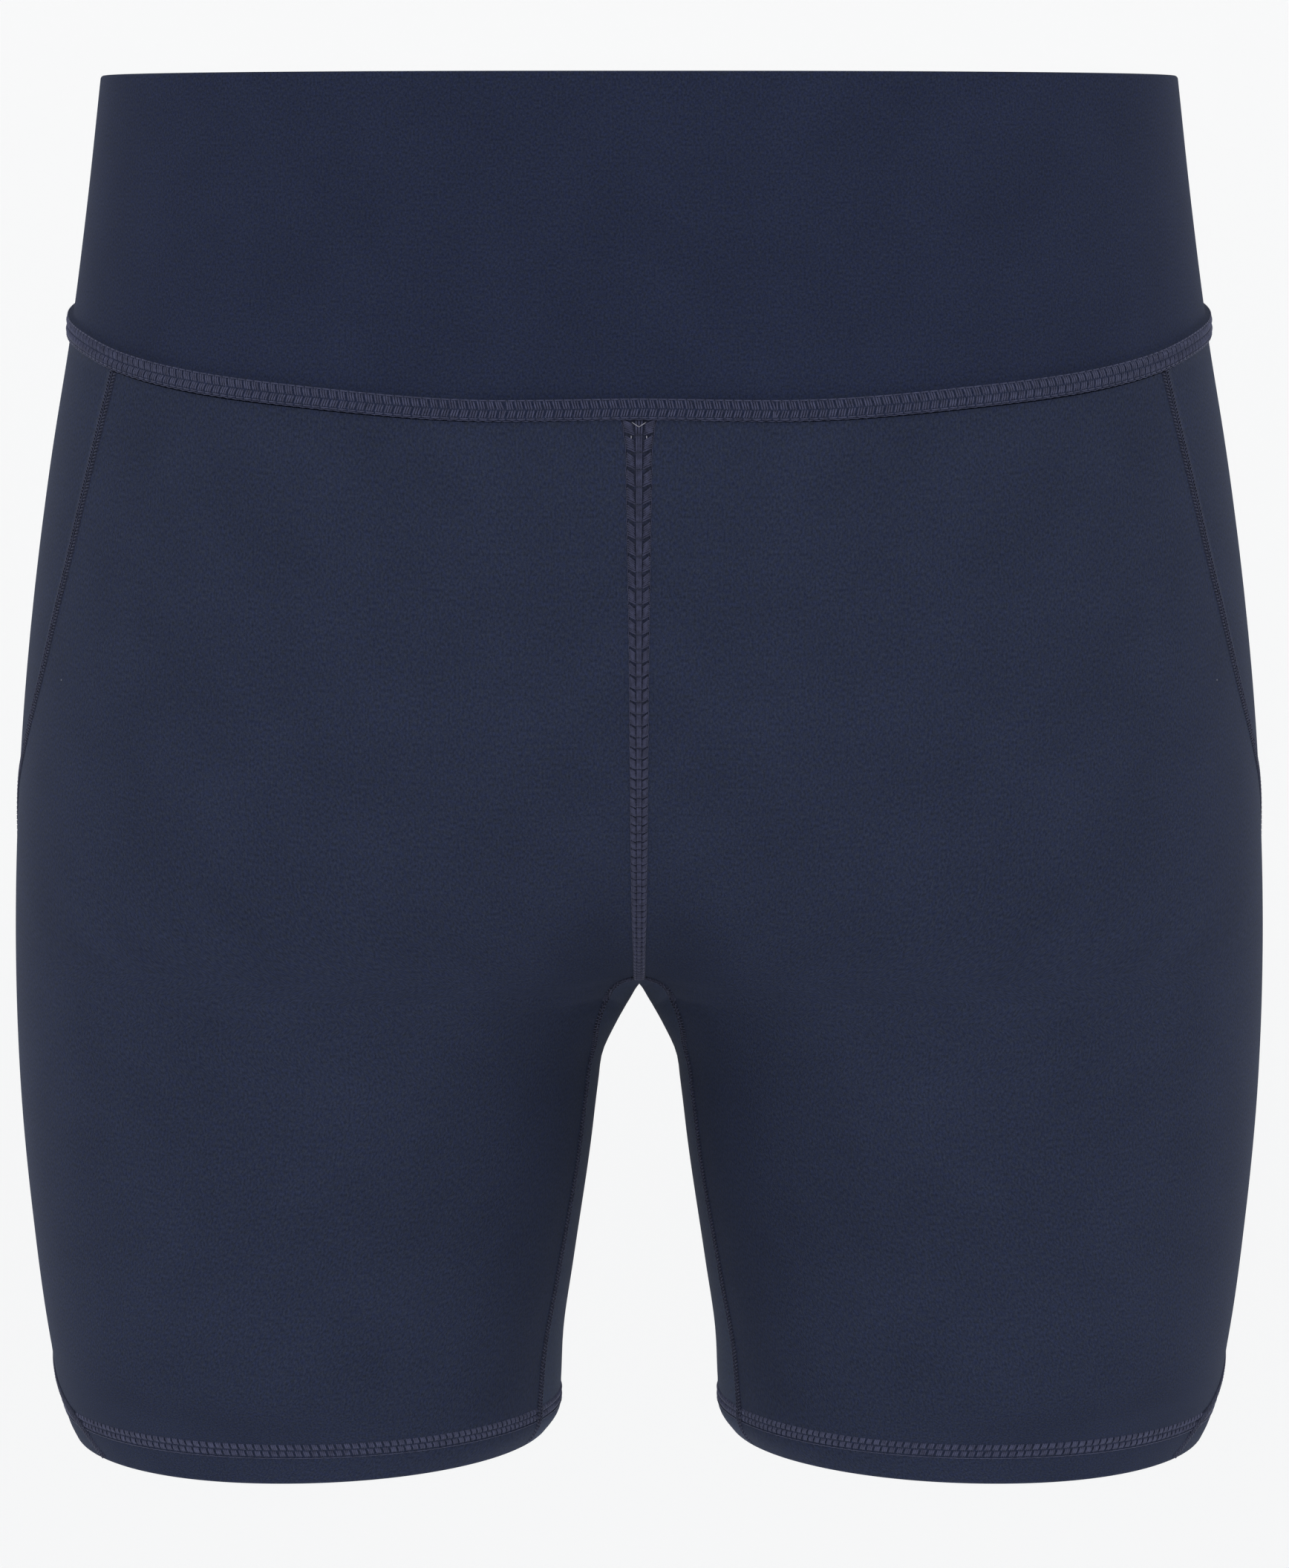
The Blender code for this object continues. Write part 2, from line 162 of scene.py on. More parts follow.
# The front edge of the gusset, from its tip in the middle down to the hem; the back is alike. The path
# runs almost level at first; from this row on, a turn can be read from the level alone.
STEEP_GUSSET_ROW = 3
GUSSET_SEAM = Table(("z", "turn"), (
    (GUSSET_TIP_Z, 0.0),
    (-0.2803, 0.160),
    (-0.2822, 0.262),
    (-0.2885, 0.290),
    (-0.2955, 0.270),
    (-0.3036, 0.215),
    (-0.3110, 0.190),
    (-0.3290, 0.188),
    (-0.3450, 0.192),
    (-0.3810, 0.221),
    (-0.4070, 0.246),
    (HEM_Z, 0.262),
))
# The raised waist seam's section: height above its lower edge and distance out of the body.
WAIST_RIDGE = Table(("up", "out"), (
    (0.0, 0.0009),
    (0.0006, 0.0011),
    (0.0022, 0.0013),
    (0.0036, 0.0014),
    (0.0052, 0.0016),
    (0.0060, 0.0015),
    (0.0064, 0.0010),
    (0.0067, 0.0003),
    (WAIST_RIDGE_HEIGHT, 0.0),
))
# The centre front seam's width and stitch pitch, by the distance down from the waist seam.
CENTRE_FRONT = Table(("down", "width", "pitch"), (
    (0.0, 0.0108, 0.0046),
    (0.006, 0.0086, 0.0050),
    (0.020, 0.0078, 0.0052),
    (0.040, 0.0070, 0.0050),
    (0.070, 0.0061, 0.0042),
    (0.100, 0.0056, 0.0034),
    (0.140, 0.0050, 0.0029),
    (0.172, 0.0042, 0.0027),
    (0.182, 0.0038, 0.0027),
))


def unit(vectors: Array) -> Array:
    """The same vectors at length one."""
    return vectors / np.maximum(np.linalg.norm(vectors, axis=-1, keepdims=True), 1e-12)


def lengths(points: Array, axis: int = 0) -> Array:
    """The distance run along a row of points, from 0, along one axis of an array of points."""
    steps = np.linalg.norm(np.diff(points, axis=axis), axis=-1)
    run = np.cumsum(steps, axis=axis)
    return np.concatenate([np.zeros_like(np.take(run, [0], axis=axis)), run], axis=axis)


def mirrored(points: Array) -> Array:
    """The same points on the other half of the body."""
    return points * np.array([-1.0, 1.0, 1.0])


@dataclass(frozen=True)
class BodyForm:
    """The surface that the cloth lies on, from horizontal sections."""

    roundness: float = 2.12
    front_rise_start_z: float = -0.165
    front_rise_power: float = 2.4
    back_rise_start_z: float = -0.150
    back_rise_power: float = 2.6
    cleft_softness_top: float = 0.60
    cleft_softness_crotch: float = 0.04
    cleft_end_z: float = -0.310
    gusset_sag: float = 0.0085
    gusset_sag_reach: float = 0.013
    waist_seam_reference_z: float = -0.085
    turn_step: float = 0.02
    height_step: float = 0.0008

    def rise(self, z: Array, start_z: float, power: float) -> Array:
        """The share of the depth left at the middle: (1 - t^p)^(1/p), t running down to the crotch."""
        t = np.clip((start_z - z) / (start_z - CROTCH_Z), 0, 1)
        return (1 - t**power) ** (1 / power)

    def softness(self, z: Array) -> Array:
        """How widely the middle of a section is rounded: wide over the belly, narrow at the crotch."""
        above = np.clip((z - CROTCH_Z) / (self.front_rise_start_z - CROTCH_Z), 0, 1)
        below = np.clip((z - self.cleft_end_z) / (CROTCH_Z - self.cleft_end_z), 0, 1)
        spread = self.cleft_softness_top - self.cleft_softness_crotch
        return np.maximum((self.cleft_softness_crotch + spread * above) * below, 1e-6)

    def inner_arc(self, step: Array, inner_x: Array, full_x: Array, full_y: Array, middle_y: Array,
                  soft: Array) -> tuple[Array, Array]:
        """From the middle (step 0) to the fullest point (step 1): an ellipse, rounded at the middle."""
        across = 1 - np.cos(step * np.pi / 2)
        rounded = (np.sqrt(across**2 + soft**2) - soft) / (np.sqrt(1 + soft**2) - soft)
        depth = np.sqrt(middle_y**2 + (full_y**2 - middle_y**2) * (2 * rounded - rounded**2))
        return inner_x + (full_x - inner_x) * across, depth

    def outer_arc(self, step: Array, side_x: Array, full_x: Array, full_y: Array) -> tuple[Array, Array]:
        """From the fullest point (step 0) to the side (step 1): a quarter of a squarish ellipse."""
        angle = np.clip(step, 0, 1) * np.pi / 2
        x = full_x + (side_x - full_x) * np.sin(angle) ** (2 / self.roundness)
        return x, full_y * np.cos(angle) ** (2 / self.roundness)

    def points(self, z: Array, turn: Array) -> Array:
        """Points of the surface on the right half; just past the middle it goes on to the left.

        Args:
            z: levels.
            turn: places round the half body or the leg, 0 to 4.

        Returns:
            The points, one for each pair: four arcs, two rounded ellipses inside and two outside.
        """
        z, turn = np.broadcast_arrays(np.asarray(z, float), np.asarray(turn, float))
        beyond = (turn < 0) | (turn > 4)
        above = z > CROTCH_Z
        folded = np.where(turn < 0, -turn, np.where(turn > 4, 8 - turn, turn))
        t = np.where(beyond & ~above, np.mod(turn, 4), folded)
        side = np.where(beyond & above, -1.0, 1.0)
        side_x = LEVELS.read(z, "side_x")
        inner_x = np.where(above, 0, INNER_LEG.read(z, "inner_x"))
        soft = self.softness(z)
        halves = []
        for half, step, start_z, power in (
                ("front", t, self.front_rise_start_z, self.front_rise_power),
                ("back", 4 - t, self.back_rise_start_z, self.back_rise_power)):
            full_x, full_y = LEVELS.read(z, half + "_x"), LEVELS.read(z, half + "_y")
            middle_y = full_y * self.rise(z, start_z, power)
            inner = self.inner_arc(np.clip(step, 0, 1), inner_x, full_x, full_y, middle_y, soft)
            outer = self.outer_arc(step - 1, side_x, full_x, full_y)
            halves.append(np.where(step <= 1, inner, outer))
        (front_x, front_y), (back_x, back_y) = halves
        x, y = np.where(t <= 2, front_x, back_x), np.where(t <= 2, -front_y, back_y)
        return np.stack([side * x, y, z], axis=-1)

    def steps(self, z: Array, turn: Array) -> tuple[Array, Array]:
        """How the surface's points move for a unit of turn and for a unit of height."""
        dt, dz = self.turn_step, self.height_step
        around = (self.points(z, turn + dt) - self.points(z, turn - dt)) / (2 * dt)
        up = (self.points(z + dz, turn) - self.points(z - dz, turn)) / (2 * dz)
        return around, up

    def normals(self, z: Array, turn: Array) -> Array:
        """The outward direction: round the body crossed with up it."""
        return unit(np.cross(*self.steps(z, turn)))

    def waist_seam_z(self, turn: Array) -> Array:
        """The level of the middle of the waist seam, by the angle round the body."""
        level = np.full(np.shape(turn), self.waist_seam_reference_z)
        x, y, _ = np.moveaxis(self.points(level, turn), -1, 0)
        deep = np.where(y < 0, LEVELS.read(level, "front_y"), LEVELS.read(level, "back_y"))
        degrees = np.degrees(np.arctan2(x / LEVELS.read(level, "side_x"), -y / deep))
        return WAIST_SEAM.read(degrees, "z")

    def gusset_points(self, z: Array, turn: Array, v: Array) -> Array:
        """Points of the gusset on the right half.

        A cross line is a parabola through its front edge (v = -1), its middle and its back edge (v = 1);
        the middle hangs lower than the edges near the crotch by a bell curve of the height.

        Args:
            z: levels of the edge.
            turn: turns of the front edge.
            v: places across, from -1 to 1.

        Returns:
            The points.
        """
        front, back = self.points(z, turn), self.points(z, 4 - turn)
        drop = GUSSET_TIP_Z - CROTCH_Z + self.gusset_sag * turn
        middle_z = z - drop * np.exp(-(((z - GUSSET_TIP_Z) / self.gusset_sag_reach) ** 2))
        inner_x = INNER_LEG.read(middle_z, "inner_x")
        middle = np.stack([inner_x, np.zeros_like(inner_x), middle_z], axis=-1)
        v = np.asarray(v, float)[..., None]
        return middle + v * (back - front) / 2 + v**2 * ((back + front) / 2 - middle)


BODY = BodyForm()


@dataclass(frozen=True)
class Rows:
    """How many rows a panel has down the body and the leg, and the closer ones at its hem."""

    torso: int = 50
    leg: int = 44
    crowding: float = 1.25
    above_hem: tuple[float, ...] = (
        0.0270, 0.0250, 0.0232, 0.0216, 0.0200, 0.0186, 0.0174, 0.0162, 0.0152, 0.0143, 0.0134, 0.0126,
        0.0118, 0.0110, 0.0102, 0.0094, 0.0086, 0.0077, 0.0066, 0.0054, 0.0042, 0.0031, 0.0022, 0.0015,
        0.0010, 0.0006, 0.0003, 0.0001, 0.0)
    seam_gap: float = 0.0001
    fine: int = 400

    def hem(self) -> Array:
        """The levels of the closer rows, down to the hem's edge."""
        return HEM_Z + np.array(self.above_hem)

    def panel_top(self, turn: Array) -> Array:
        """The upper edge of the panels: just under the waistband."""
        return BODY.waist_seam_z(turn) - WAIST_SEAM_WIDTH / 2 - self.seam_gap

    def gusset_edge(self) -> tuple[Array, Array]:
        """Levels and turns along the gusset's edge from its tip to the hem, closer near the tip."""
        whole = np.arange(len(GUSSET_SEAM.rows))
        index = np.linspace(0, whole[-1], self.fine)
        z, turn = (smooth(index, whole, GUSSET_SEAM.column(name)) for name in GUSSET_SEAM.names)
        z, turn = z[z >= self.hem()[0]], turn[z >= self.hem()[0]]
        run = lengths(BODY.points(z, turn))
        stops = run[-1] * np.linspace(0, 1, self.leg) ** self.crowding
        last_turns = GUSSET_SEAM.read(self.hem(), "turn", STEEP_GUSSET_ROW)
        z = np.concatenate([np.interp(stops, run, z)[:-1], self.hem()])
        return z, np.concatenate([np.interp(stops, run, turn)[:-1], last_turns])

    def inner_edge(self, middle_turn: float) -> tuple[Array, Array]:
        """Levels and turns of the rows at the middle seam (turn 0 or 4) and then along the gusset."""
        z, turn = self.gusset_edge()
        torso = np.linspace(self.panel_top(np.array([middle_turn]))[0], GUSSET_TIP_Z, self.torso)[:-1]
        turns = turn if middle_turn == 0 else 4 - turn
        return np.concatenate([torso, z]), np.concatenate([np.full(len(torso), middle_turn), turns])

    def side_edge(self, which: str) -> tuple[Array, Array]:
        """Levels and turns of the rows at the "front" or "back" seam of the side panel."""
        top_z = self.panel_top(np.array([1 + SIDE_SEAMS.column(which)[0] / 90]))[0]
        torso = np.linspace(top_z, SIDE_AT_TIP_Z, self.torso)
        down = np.linspace(0, 1, self.leg) ** self.crowding
        leg = SIDE_AT_TIP_Z + (self.hem()[0] - SIDE_AT_TIP_Z) * down
        z = np.concatenate([torso, leg[1:-1], self.hem()])
        return z, 1 + SIDE_SEAMS.read(z, which) / 90


ROWS = Rows()


@dataclass(frozen=True)
class HemFold:
    """The turned hem: two layers, a soft outer edge, and a shallow channel where the stitches pull."""

    wall: float = 0.0014
    extra: float = 0.0010
    depth: float = 0.0138
    depth_softness: float = 0.00025
    edge_radius: float = 0.0011
    puff: float = 0.00030
    puff_middle: float = 0.0045
    puff_reach: float = 0.0032
    groove: float = 0.00032
    band_low: float = 0.0088
    band_high: float = 0.0133
    band_softness: float = 0.0004

    def both_faces(self, surface: Array, out: Array, z: Array) -> Array:
        """A panel's outer and inner face.

        The outer face is puffed and drawn in under the stitches, the inner one lies one layer deep and
        two layers in the hem, and both are rounded off at the edge by a quarter circle.

        Args:
            surface: the body surface's points.
            out: the outward directions there.
            z: their levels.

        Returns:
            The two faces' points, stacked.
        """
        up = z - HEM_Z
        under = np.clip(1 - up / self.edge_radius, 0, 1)
        round_off = self.edge_radius * (1 - np.sqrt(1 - under**2))
        puff = self.puff * np.exp(-(((up - self.puff_middle) / self.puff_reach) ** 2))
        pull = (np.tanh((up - self.band_low) / self.band_softness)
                - np.tanh((up - self.band_high) / self.band_softness)) / 2
        second_layer = 1 / (1 + np.exp((up - self.depth) / self.depth_softness))
        outside = puff - self.groove * pull - round_off
        inside = self.wall + self.extra * second_layer - round_off
        return np.stack([surface + outside[..., None] * out, surface - inside[..., None] * out])


HEM = HemFold()


def stand_for(node: str) -> None:
    """Hides a node's part from model.glb, so that a shell stands for it.

    Args:
        node: the node.
    """
    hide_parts(node)


def grid_faces(index: Array, closed_rows: bool = False, closed_columns: bool = False) -> Array:
    """Quads between neighbouring points of a grid of point numbers, or of a stack of such grids."""
    if closed_rows:
        index = np.concatenate([index, index[..., :1, :]], axis=-2)
    if closed_columns:
        index = np.concatenate([index, index[..., :1]], axis=-1)
    corners = (index[..., :-1, :-1], index[..., :-1, 1:], index[..., 1:, 1:], index[..., 1:, :-1])
    return np.stack(corners, axis=-1).reshape(-1, 4)


def numbers(shape: tuple[int, ...]) -> Array:
    """The numbers of the points of a grid, in the order in which a mesh takes them."""
    return np.arange(np.prod(shape)).reshape(shape)


def into_scene(name: str, data: bpy.types.ID) -> bpy.types.Object:
    """Makes an object of its data and links it into the scene."""
    made = bpy.data.objects.new(name, data)
    bpy.context.scene.collection.objects.link(made)
    return made


def add_mesh(name: str, points: Array, faces: list, uv: Array, finish: bpy.types.Material,
             flip: bool = False) -> bpy.types.Object:
    """Puts a mesh into the scene at the origin, with a UV place for each point.

    Args:
        name: the piece's name.
        points: its vertices.
        faces: lists of vertex numbers, anticlockwise from outside.
        uv: a place in metres of cloth or thread for each vertex.
        finish: the material.
        flip: turns the faces round, for a mirrored piece.

    Returns:
        The object.
    """
    mesh = bpy.data.meshes.new(name)
    mesh.from_pydata(points.reshape(-1, 3).tolist(), [], faces)
    if flip:
        mesh.flip_normals()
    corner = np.zeros(len(mesh.loops), np.int32)
    mesh.loops.foreach_get("vertex_index", corner)
    layer = mesh.uv_layers.new(name="cloth")
    layer.data.foreach_set("uv", uv.reshape(-1, 2)[corner].astype(np.float32).ravel())
    mesh.shade_smooth()
    mesh.materials.append(finish)
    piece = into_scene(name, mesh)
    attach(piece, "root")
    log.info("%s: %d vertices, %d faces", name, len(mesh.vertices), len(mesh.polygons))
    return piece


def wall_faces(rows: int, columns: int) -> list:
    """Faces of a sheet with an outer grid, an inner grid behind it and the rim between them."""
    index = numbers((rows, columns))
    rim = np.concatenate([index[0], index[1:, -1], index[-1, -2::-1], index[-2:0:-1, 0]])
    ring = np.stack([rim, np.roll(rim, -1)], axis=1)
    around = np.hstack([ring[:, ::-1], ring + index.size])
    front = grid_faces(index)[:, ::-1]
    return np.concatenate([front, grid_faces(index + index.size), around]).tolist()


class Look:
    """A material's nodes, made, fed and joined by short calls."""

    def __init__(self, name: str) -> None:
        """Makes the material with its usual shader."""
        self.material = bpy.data.materials.new(name)
        self.material.use_nodes = True
        self.tree = self.material.node_tree
        self.shader = self.tree.nodes["Principled BSDF"]

    def feed(self, node: bpy.types.Node, inputs: dict) -> bpy.types.Node:
        """Feeds a node's inputs: a socket is linked, and anything else is set."""
        for name, value in inputs.items():
            if isinstance(value, bpy.types.NodeSocket):
                self.tree.links.new(value, node.inputs[name])
            else:
                node.inputs[name].default_value = value
        return node

    def node(self, kind: str, inputs: dict, **settings: str) -> bpy.types.NodeOutputs:
        """The outputs of a new node of a kind, with its settings and then its inputs."""
        made = self.tree.nodes.new("ShaderNode" + kind)
        for name, value in settings.items():
            setattr(made, name, value)
        return self.feed(made, inputs).outputs

    def math(self, operation: str, first: object, second: object) -> bpy.types.NodeSocket:
        """The result of a math node of two values or sockets."""
        return self.node("Math", {0: first, 1: second}, operation=operation)[0]

    def noise(self, place: object, scale: float, detail: float, low: float, high: float,
              roughness: float = 0.6) -> bpy.types.NodeSocket:
        """Noise of a scale at a place, whose middle values are spread from low to high."""
        grain = self.node("TexNoise", {"Vector": place, "Scale": scale, "Detail": detail,
                                       "Roughness": roughness})["Fac"]
        return self.node("MapRange", {"Value": grain, "From Min": 0.3, "From Max": 0.7,
                                      "To Min": low, "To Max": high})["Result"]

    def finished(self, colour: object, height: object, finish: object) -> bpy.types.Material:
        """The material, with the shader fed from a colour, a height and a finish's own numbers."""
        bent = self.node("Bump", {"Height": height, "Distance": finish.bump_m,
                                  "Strength": finish.bump_strength})[0]
        self.feed(self.shader, {
            "Base Color": colour, "Normal": bent, "Roughness": finish.roughness,
            "Specular IOR Level": finish.specular, "Sheen Weight": finish.sheen,
            "Sheen Roughness": finish.sheen_roughness, "Sheen Tint": (*finish.sheen_tint, 1)})
        return self.material


@dataclass(frozen=True)
class KnitFinish:
    """Matt fine stretch knit: speckled yarn, faint wales and courses, stray lint and a soft nap."""

    name: str
    colour: Triple = (0.0190, 0.0245, 0.0485)
    roughness: float = 0.86
    specular: float = 0.07
    sheen: float = 0.045
    sheen_roughness: float = 0.36
    sheen_tint: Triple = (0.62, 0.72, 0.95)
    speckle_mm: float = 0.62
    speckle: float = 0.34
    heather_scale: float = 1.9
    cool_yarn: Triple = (0.93, 0.96, 1.08)
    warm_yarn: Triple = (1.08, 1.05, 0.91)
    tone_mm: float = 34.0
    tone: float = 0.07
    wale_mm: float = 0.52
    course_mm: float = 0.46
    loop_height: float = 0.35
    bump_m: float = 0.00006
    bump_strength: float = 0.7
    lint_cell_mm: float = 46.0
    lint_mm: float = 0.28
    lint_colour: Triple = (0.14, 0.15, 0.18)
    stretch: float = 0.62

    def yarn(self, dye: Triple) -> tuple[float, ...]:
        """The colour of one of the two yarns."""
        return (*(share * part for share, part in zip(dye, self.colour)), 1)

    def material(self) -> bpy.types.Material:
        """Builds the node material: the pattern reads the cloth's UV places, in millimetres."""
        look = Look(self.name)
        place = look.node("TexCoord", {})["UV"]
        drawn_out = (MM_PER_M, MM_PER_M * self.stretch, MM_PER_M)
        scaled = look.node("Mapping", {"Vector": place, "Scale": drawn_out})[0]
        even = look.node("Mapping", {"Vector": place, "Scale": (MM_PER_M,) * 3})[0]

        speckle = look.noise(scaled, 1 / self.speckle_mm, 2, 1 - self.speckle, 1 + self.speckle)
        tone = look.noise(even, 1 / self.tone_mm, 3, 1 - self.tone, 1 + self.tone)
        heather = look.noise(scaled, 1 / (self.speckle_mm * self.heather_scale), 1, 0, 1)
        yarns = look.node("Mix", {"A": self.yarn(self.cool_yarn), "B": self.yarn(self.warm_yarn),
                                  "Factor": heather}, data_type="RGBA")["Result"]
        shade = look.math("MULTIPLY", speckle, tone)
        tinted = look.node("VectorMath", {0: yarns, "Scale": shade}, operation="SCALE")[0]
        cells = look.node("TexVoronoi", {"Vector": even, "Scale": 1 / self.lint_cell_mm})["Distance"]
        is_lint = look.math("LESS_THAN", cells, self.lint_mm / self.lint_cell_mm)
        colour = look.node("Mix", {"A": tinted, "B": (*self.lint_colour, 1), "Factor": is_lint},
                           data_type="RGBA")["Result"]

        across, down, _ = look.node("SeparateXYZ", {0: even})
        wales = look.math("SINE", look.math("MULTIPLY", across, 2 * np.pi / self.wale_mm), 0)
        courses = look.math("SINE", look.math("MULTIPLY", down, 2 * np.pi / self.course_mm), 0)
        loops = look.math("MULTIPLY", look.math("MULTIPLY", wales, courses), self.loop_height)
        return look.finished(colour, look.math("ADD", loops, speckle), self)


@dataclass(frozen=True)
class ThreadFinish:
    """Textured polyester thread: a twist along it and a slightly varied dye."""

    name: str
    colour: Triple = (0.0430, 0.0475, 0.0890)
    roughness: float = 0.68
    specular: float = 0.15
    sheen: float = 0.18
    sheen_roughness: float = 0.4
    sheen_tint: Triple = (0.7, 0.74, 0.95)
    dye_mm: float = 1.6
    variation: float = 0.30
    twist_mm: float = 3.0
    bump_m: float = 0.00005
    bump_strength: float = 0.5

    def material(self) -> bpy.types.Material:
        """Builds the node material: U runs along the thread and V round it, in metres."""
        look = Look(self.name)
        place = look.node("TexCoord", {})
        dye = look.noise(place["Object"], MM_PER_M / self.dye_mm, 2, 1 - self.variation,
                         1 + self.variation, roughness=0.5)
        tinted = look.node("VectorMath", {0: self.colour, "Scale": dye}, operation="SCALE")[0]
        twist = look.node("TexWave", {"Vector": place["UV"], "Scale": MM_PER_M / self.twist_mm},
                          bands_direction="DIAGONAL")["Fac"]
        return look.finished(tinted, twist, self)


@dataclass(frozen=True)
class PaleFloorFinish:
    """The studio's pale paint, with a little light of its own so that it stays even."""

    name: str = "pale_floor"
    colour: Triple = (0.50, 0.50, 0.50)
    roughness: float = 0.9
    glow: float = 0.515

    def material(self) -> bpy.types.Material:
        """Builds the plain material."""
        look = Look(self.name)
        look.feed(look.shader, {
            "Base Color": (*self.colour, 1), "Roughness": self.roughness, "Specular IOR Level": 0.0,
            "Emission Color": (1.0, 1.0, 1.0, 1), "Emission Strength": self.glow})
        return look.material


@dataclass
class ClothPanel:
    """A panel from one edge to another, made for the right half and mirrored for the left."""

    name: str
    start: Callable[[], tuple[Array, Array]]
    end: Callable[[], tuple[Array, Array]]
    columns: int
    bow_rows: int = 24
    slot: str = "panel_knit"

    def grid(self) -> tuple[Array, Array]:
        """Levels and turns of the panel's points.

        Row by row they run straight from one edge to the other, and the top rows bow with the waist
        seam by (1 - row/bow_rows)^2.

        Returns:
            Two arrays of rows by columns.
        """
        (z0, t0), (z1, t1) = self.start(), self.end()
        across = np.linspace(0, 1, ROWS.fine // 2)
        turn = t0[:, None] + (t1 - t0)[:, None] * across
        top = ROWS.panel_top(turn[0])
        bow = top - np.interp(across, [0, 1], top[[0, -1]])
        fade = np.clip(1 - np.arange(len(z0)) / self.bow_rows, 0, 1)[:, None] ** 2
        z = z0[:, None] + (z1 - z0)[:, None] * across + fade * bow
        run = lengths(BODY.points(z, turn), axis=1)
        share = run / run[:, -1:]
        stops = np.linspace(0, 1, self.columns)
        at = np.stack([np.interp(stops, row, across) for row in share])
        turns = t0[:, None] + (t1 - t0)[:, None] * at
        levels = z0[:, None] + (z1 - z0)[:, None] * at + fade * np.interp(at, across, bow)
        return levels, turns

    def build(self, finish: bpy.types.Material) -> None:
        """Makes the right and the left shell.

        Args:
            finish: the knit.
        """
        z, turn = self.grid()
        surface = BODY.points(z, turn)
        points = HEM.both_faces(surface, BODY.normals(z, turn), z)
        uv = np.stack([lengths(surface, axis=1), -lengths(surface, axis=0)], axis=-1)
        faces = wall_faces(*z.shape)
        for side, flip in (("right", False), ("left", True)):
            placed = mirrored(points) if flip else points
            piece = add_mesh(f"{self.name}_{side}_cloth", placed, faces, np.stack([uv, uv]), finish, flip)
            stand_for(f"{self.name}_{side}")


@dataclass
class Gusset:
    """The strip from hem to hem across the crotch."""

    columns: int = 29

    def build(self, finish: bpy.types.Material) -> None:
        """Makes the strip: cross lines are parabolas, from the right hem over the tip to the left hem.

        Args:
            finish: the knit.
        """
        z, turn = ROWS.gusset_edge()
        v = np.linspace(-1, 1, self.columns)
        right = BODY.gusset_points(z[:, None], turn[:, None], v[None, :])
        surface = np.concatenate([right[::-1], mirrored(right)[1:]])
        levels = np.concatenate([z[::-1], z[1:]])
        along, over = np.gradient(surface, axis=0, edge_order=2), np.gradient(surface, axis=1, edge_order=2)
        out = unit(np.cross(along, over))
        points = HEM.both_faces(surface, out, levels[:, None])
        uv = np.stack([lengths(surface, axis=1), lengths(surface, axis=0)], axis=-1)
        faces = wall_faces(*surface.shape[:2])
        piece = add_mesh("gusset_cloth", points, faces, np.stack([uv, uv]), finish, flip=True)
        stand_for("gusset")


@dataclass
class Waistband:
    """The wide band: folded at its top edge, with the raised waist seam round its lower edge."""

    wall: float = 0.0022
    stations: int = 150
    rows: int = 34
    fold_steps: int = 8
    reference_z: float = -0.05
    ridge_rows: int = 18

    def ring_turns(self) -> Array:
        """Turns evenly spaced round one half of the band, centre front to centre back."""
        fine = np.linspace(0, 4, ROWS.fine * 4)
        run = lengths(BODY.points(np.full(fine.shape, self.reference_z), fine))
        return np.interp(np.linspace(0, run[-1], self.stations), run, fine)

    def section(self, low: Array) -> tuple[Array, Array]:
        """Levels and distances out of the body, round the band's section.

        It goes up the ridge and the outer face, over the top in a half circle, and down the inner face.

        Args:
            low: the level of the lower edge at each station.

        Returns:
            Two arrays of section points by stations.
        """
        ridge_up = np.linspace(0, WAIST_RIDGE_HEIGHT, self.ridge_rows)
        ridge_out = WAIST_RIDGE.read(ridge_up, "out")
        radius = self.wall / 2
        start = low + WAIST_RIDGE_HEIGHT
        steps = np.linspace(0, 1, self.rows)[1:, None]
        face = start + (-radius - start) * steps
        angle = np.linspace(0, np.pi, self.fold_steps + 1)[1:, None]
        fold = -radius + radius * np.sin(angle) + 0 * low
        fold_out = -radius + radius * np.cos(angle) + 0 * low
        back = -radius + (low + radius) * steps
        z = np.concatenate([low + ridge_up[:, None], face, fold, back])
        out = np.concatenate([ridge_out[:, None] + 0 * low, 0 * face, fold_out, -self.wall + 0 * back])
        return z, out

    def build(self, finish: bpy.types.Material) -> None:
        """Makes the closed ring.

        Args:
            finish: the knit.
        """
        turn = self.ring_turns()
        low = BODY.waist_seam_z(turn) - WAIST_SEAM_WIDTH / 2
        z, out = self.section(low)
        turns = np.broadcast_to(turn, z.shape)
        right = BODY.points(z, turns) + out[..., None] * BODY.normals(z, turns)
        ring = np.concatenate([right, mirrored(right)[:, -2:0:-1]], axis=1)
        faces = grid_faces(numbers(ring.shape[:2]), closed_rows=True, closed_columns=True).tolist()
        half = lengths(right, axis=1)
        around = np.concatenate([half, -half[:, -2:0:-1]], axis=1)
        uv = np.stack([around, np.concatenate([z, z[:, -2:0:-1]], axis=1)], axis=-1)
        piece = add_mesh("waistband_cloth", ring, faces, uv, finish)
        stand_for("waistband")


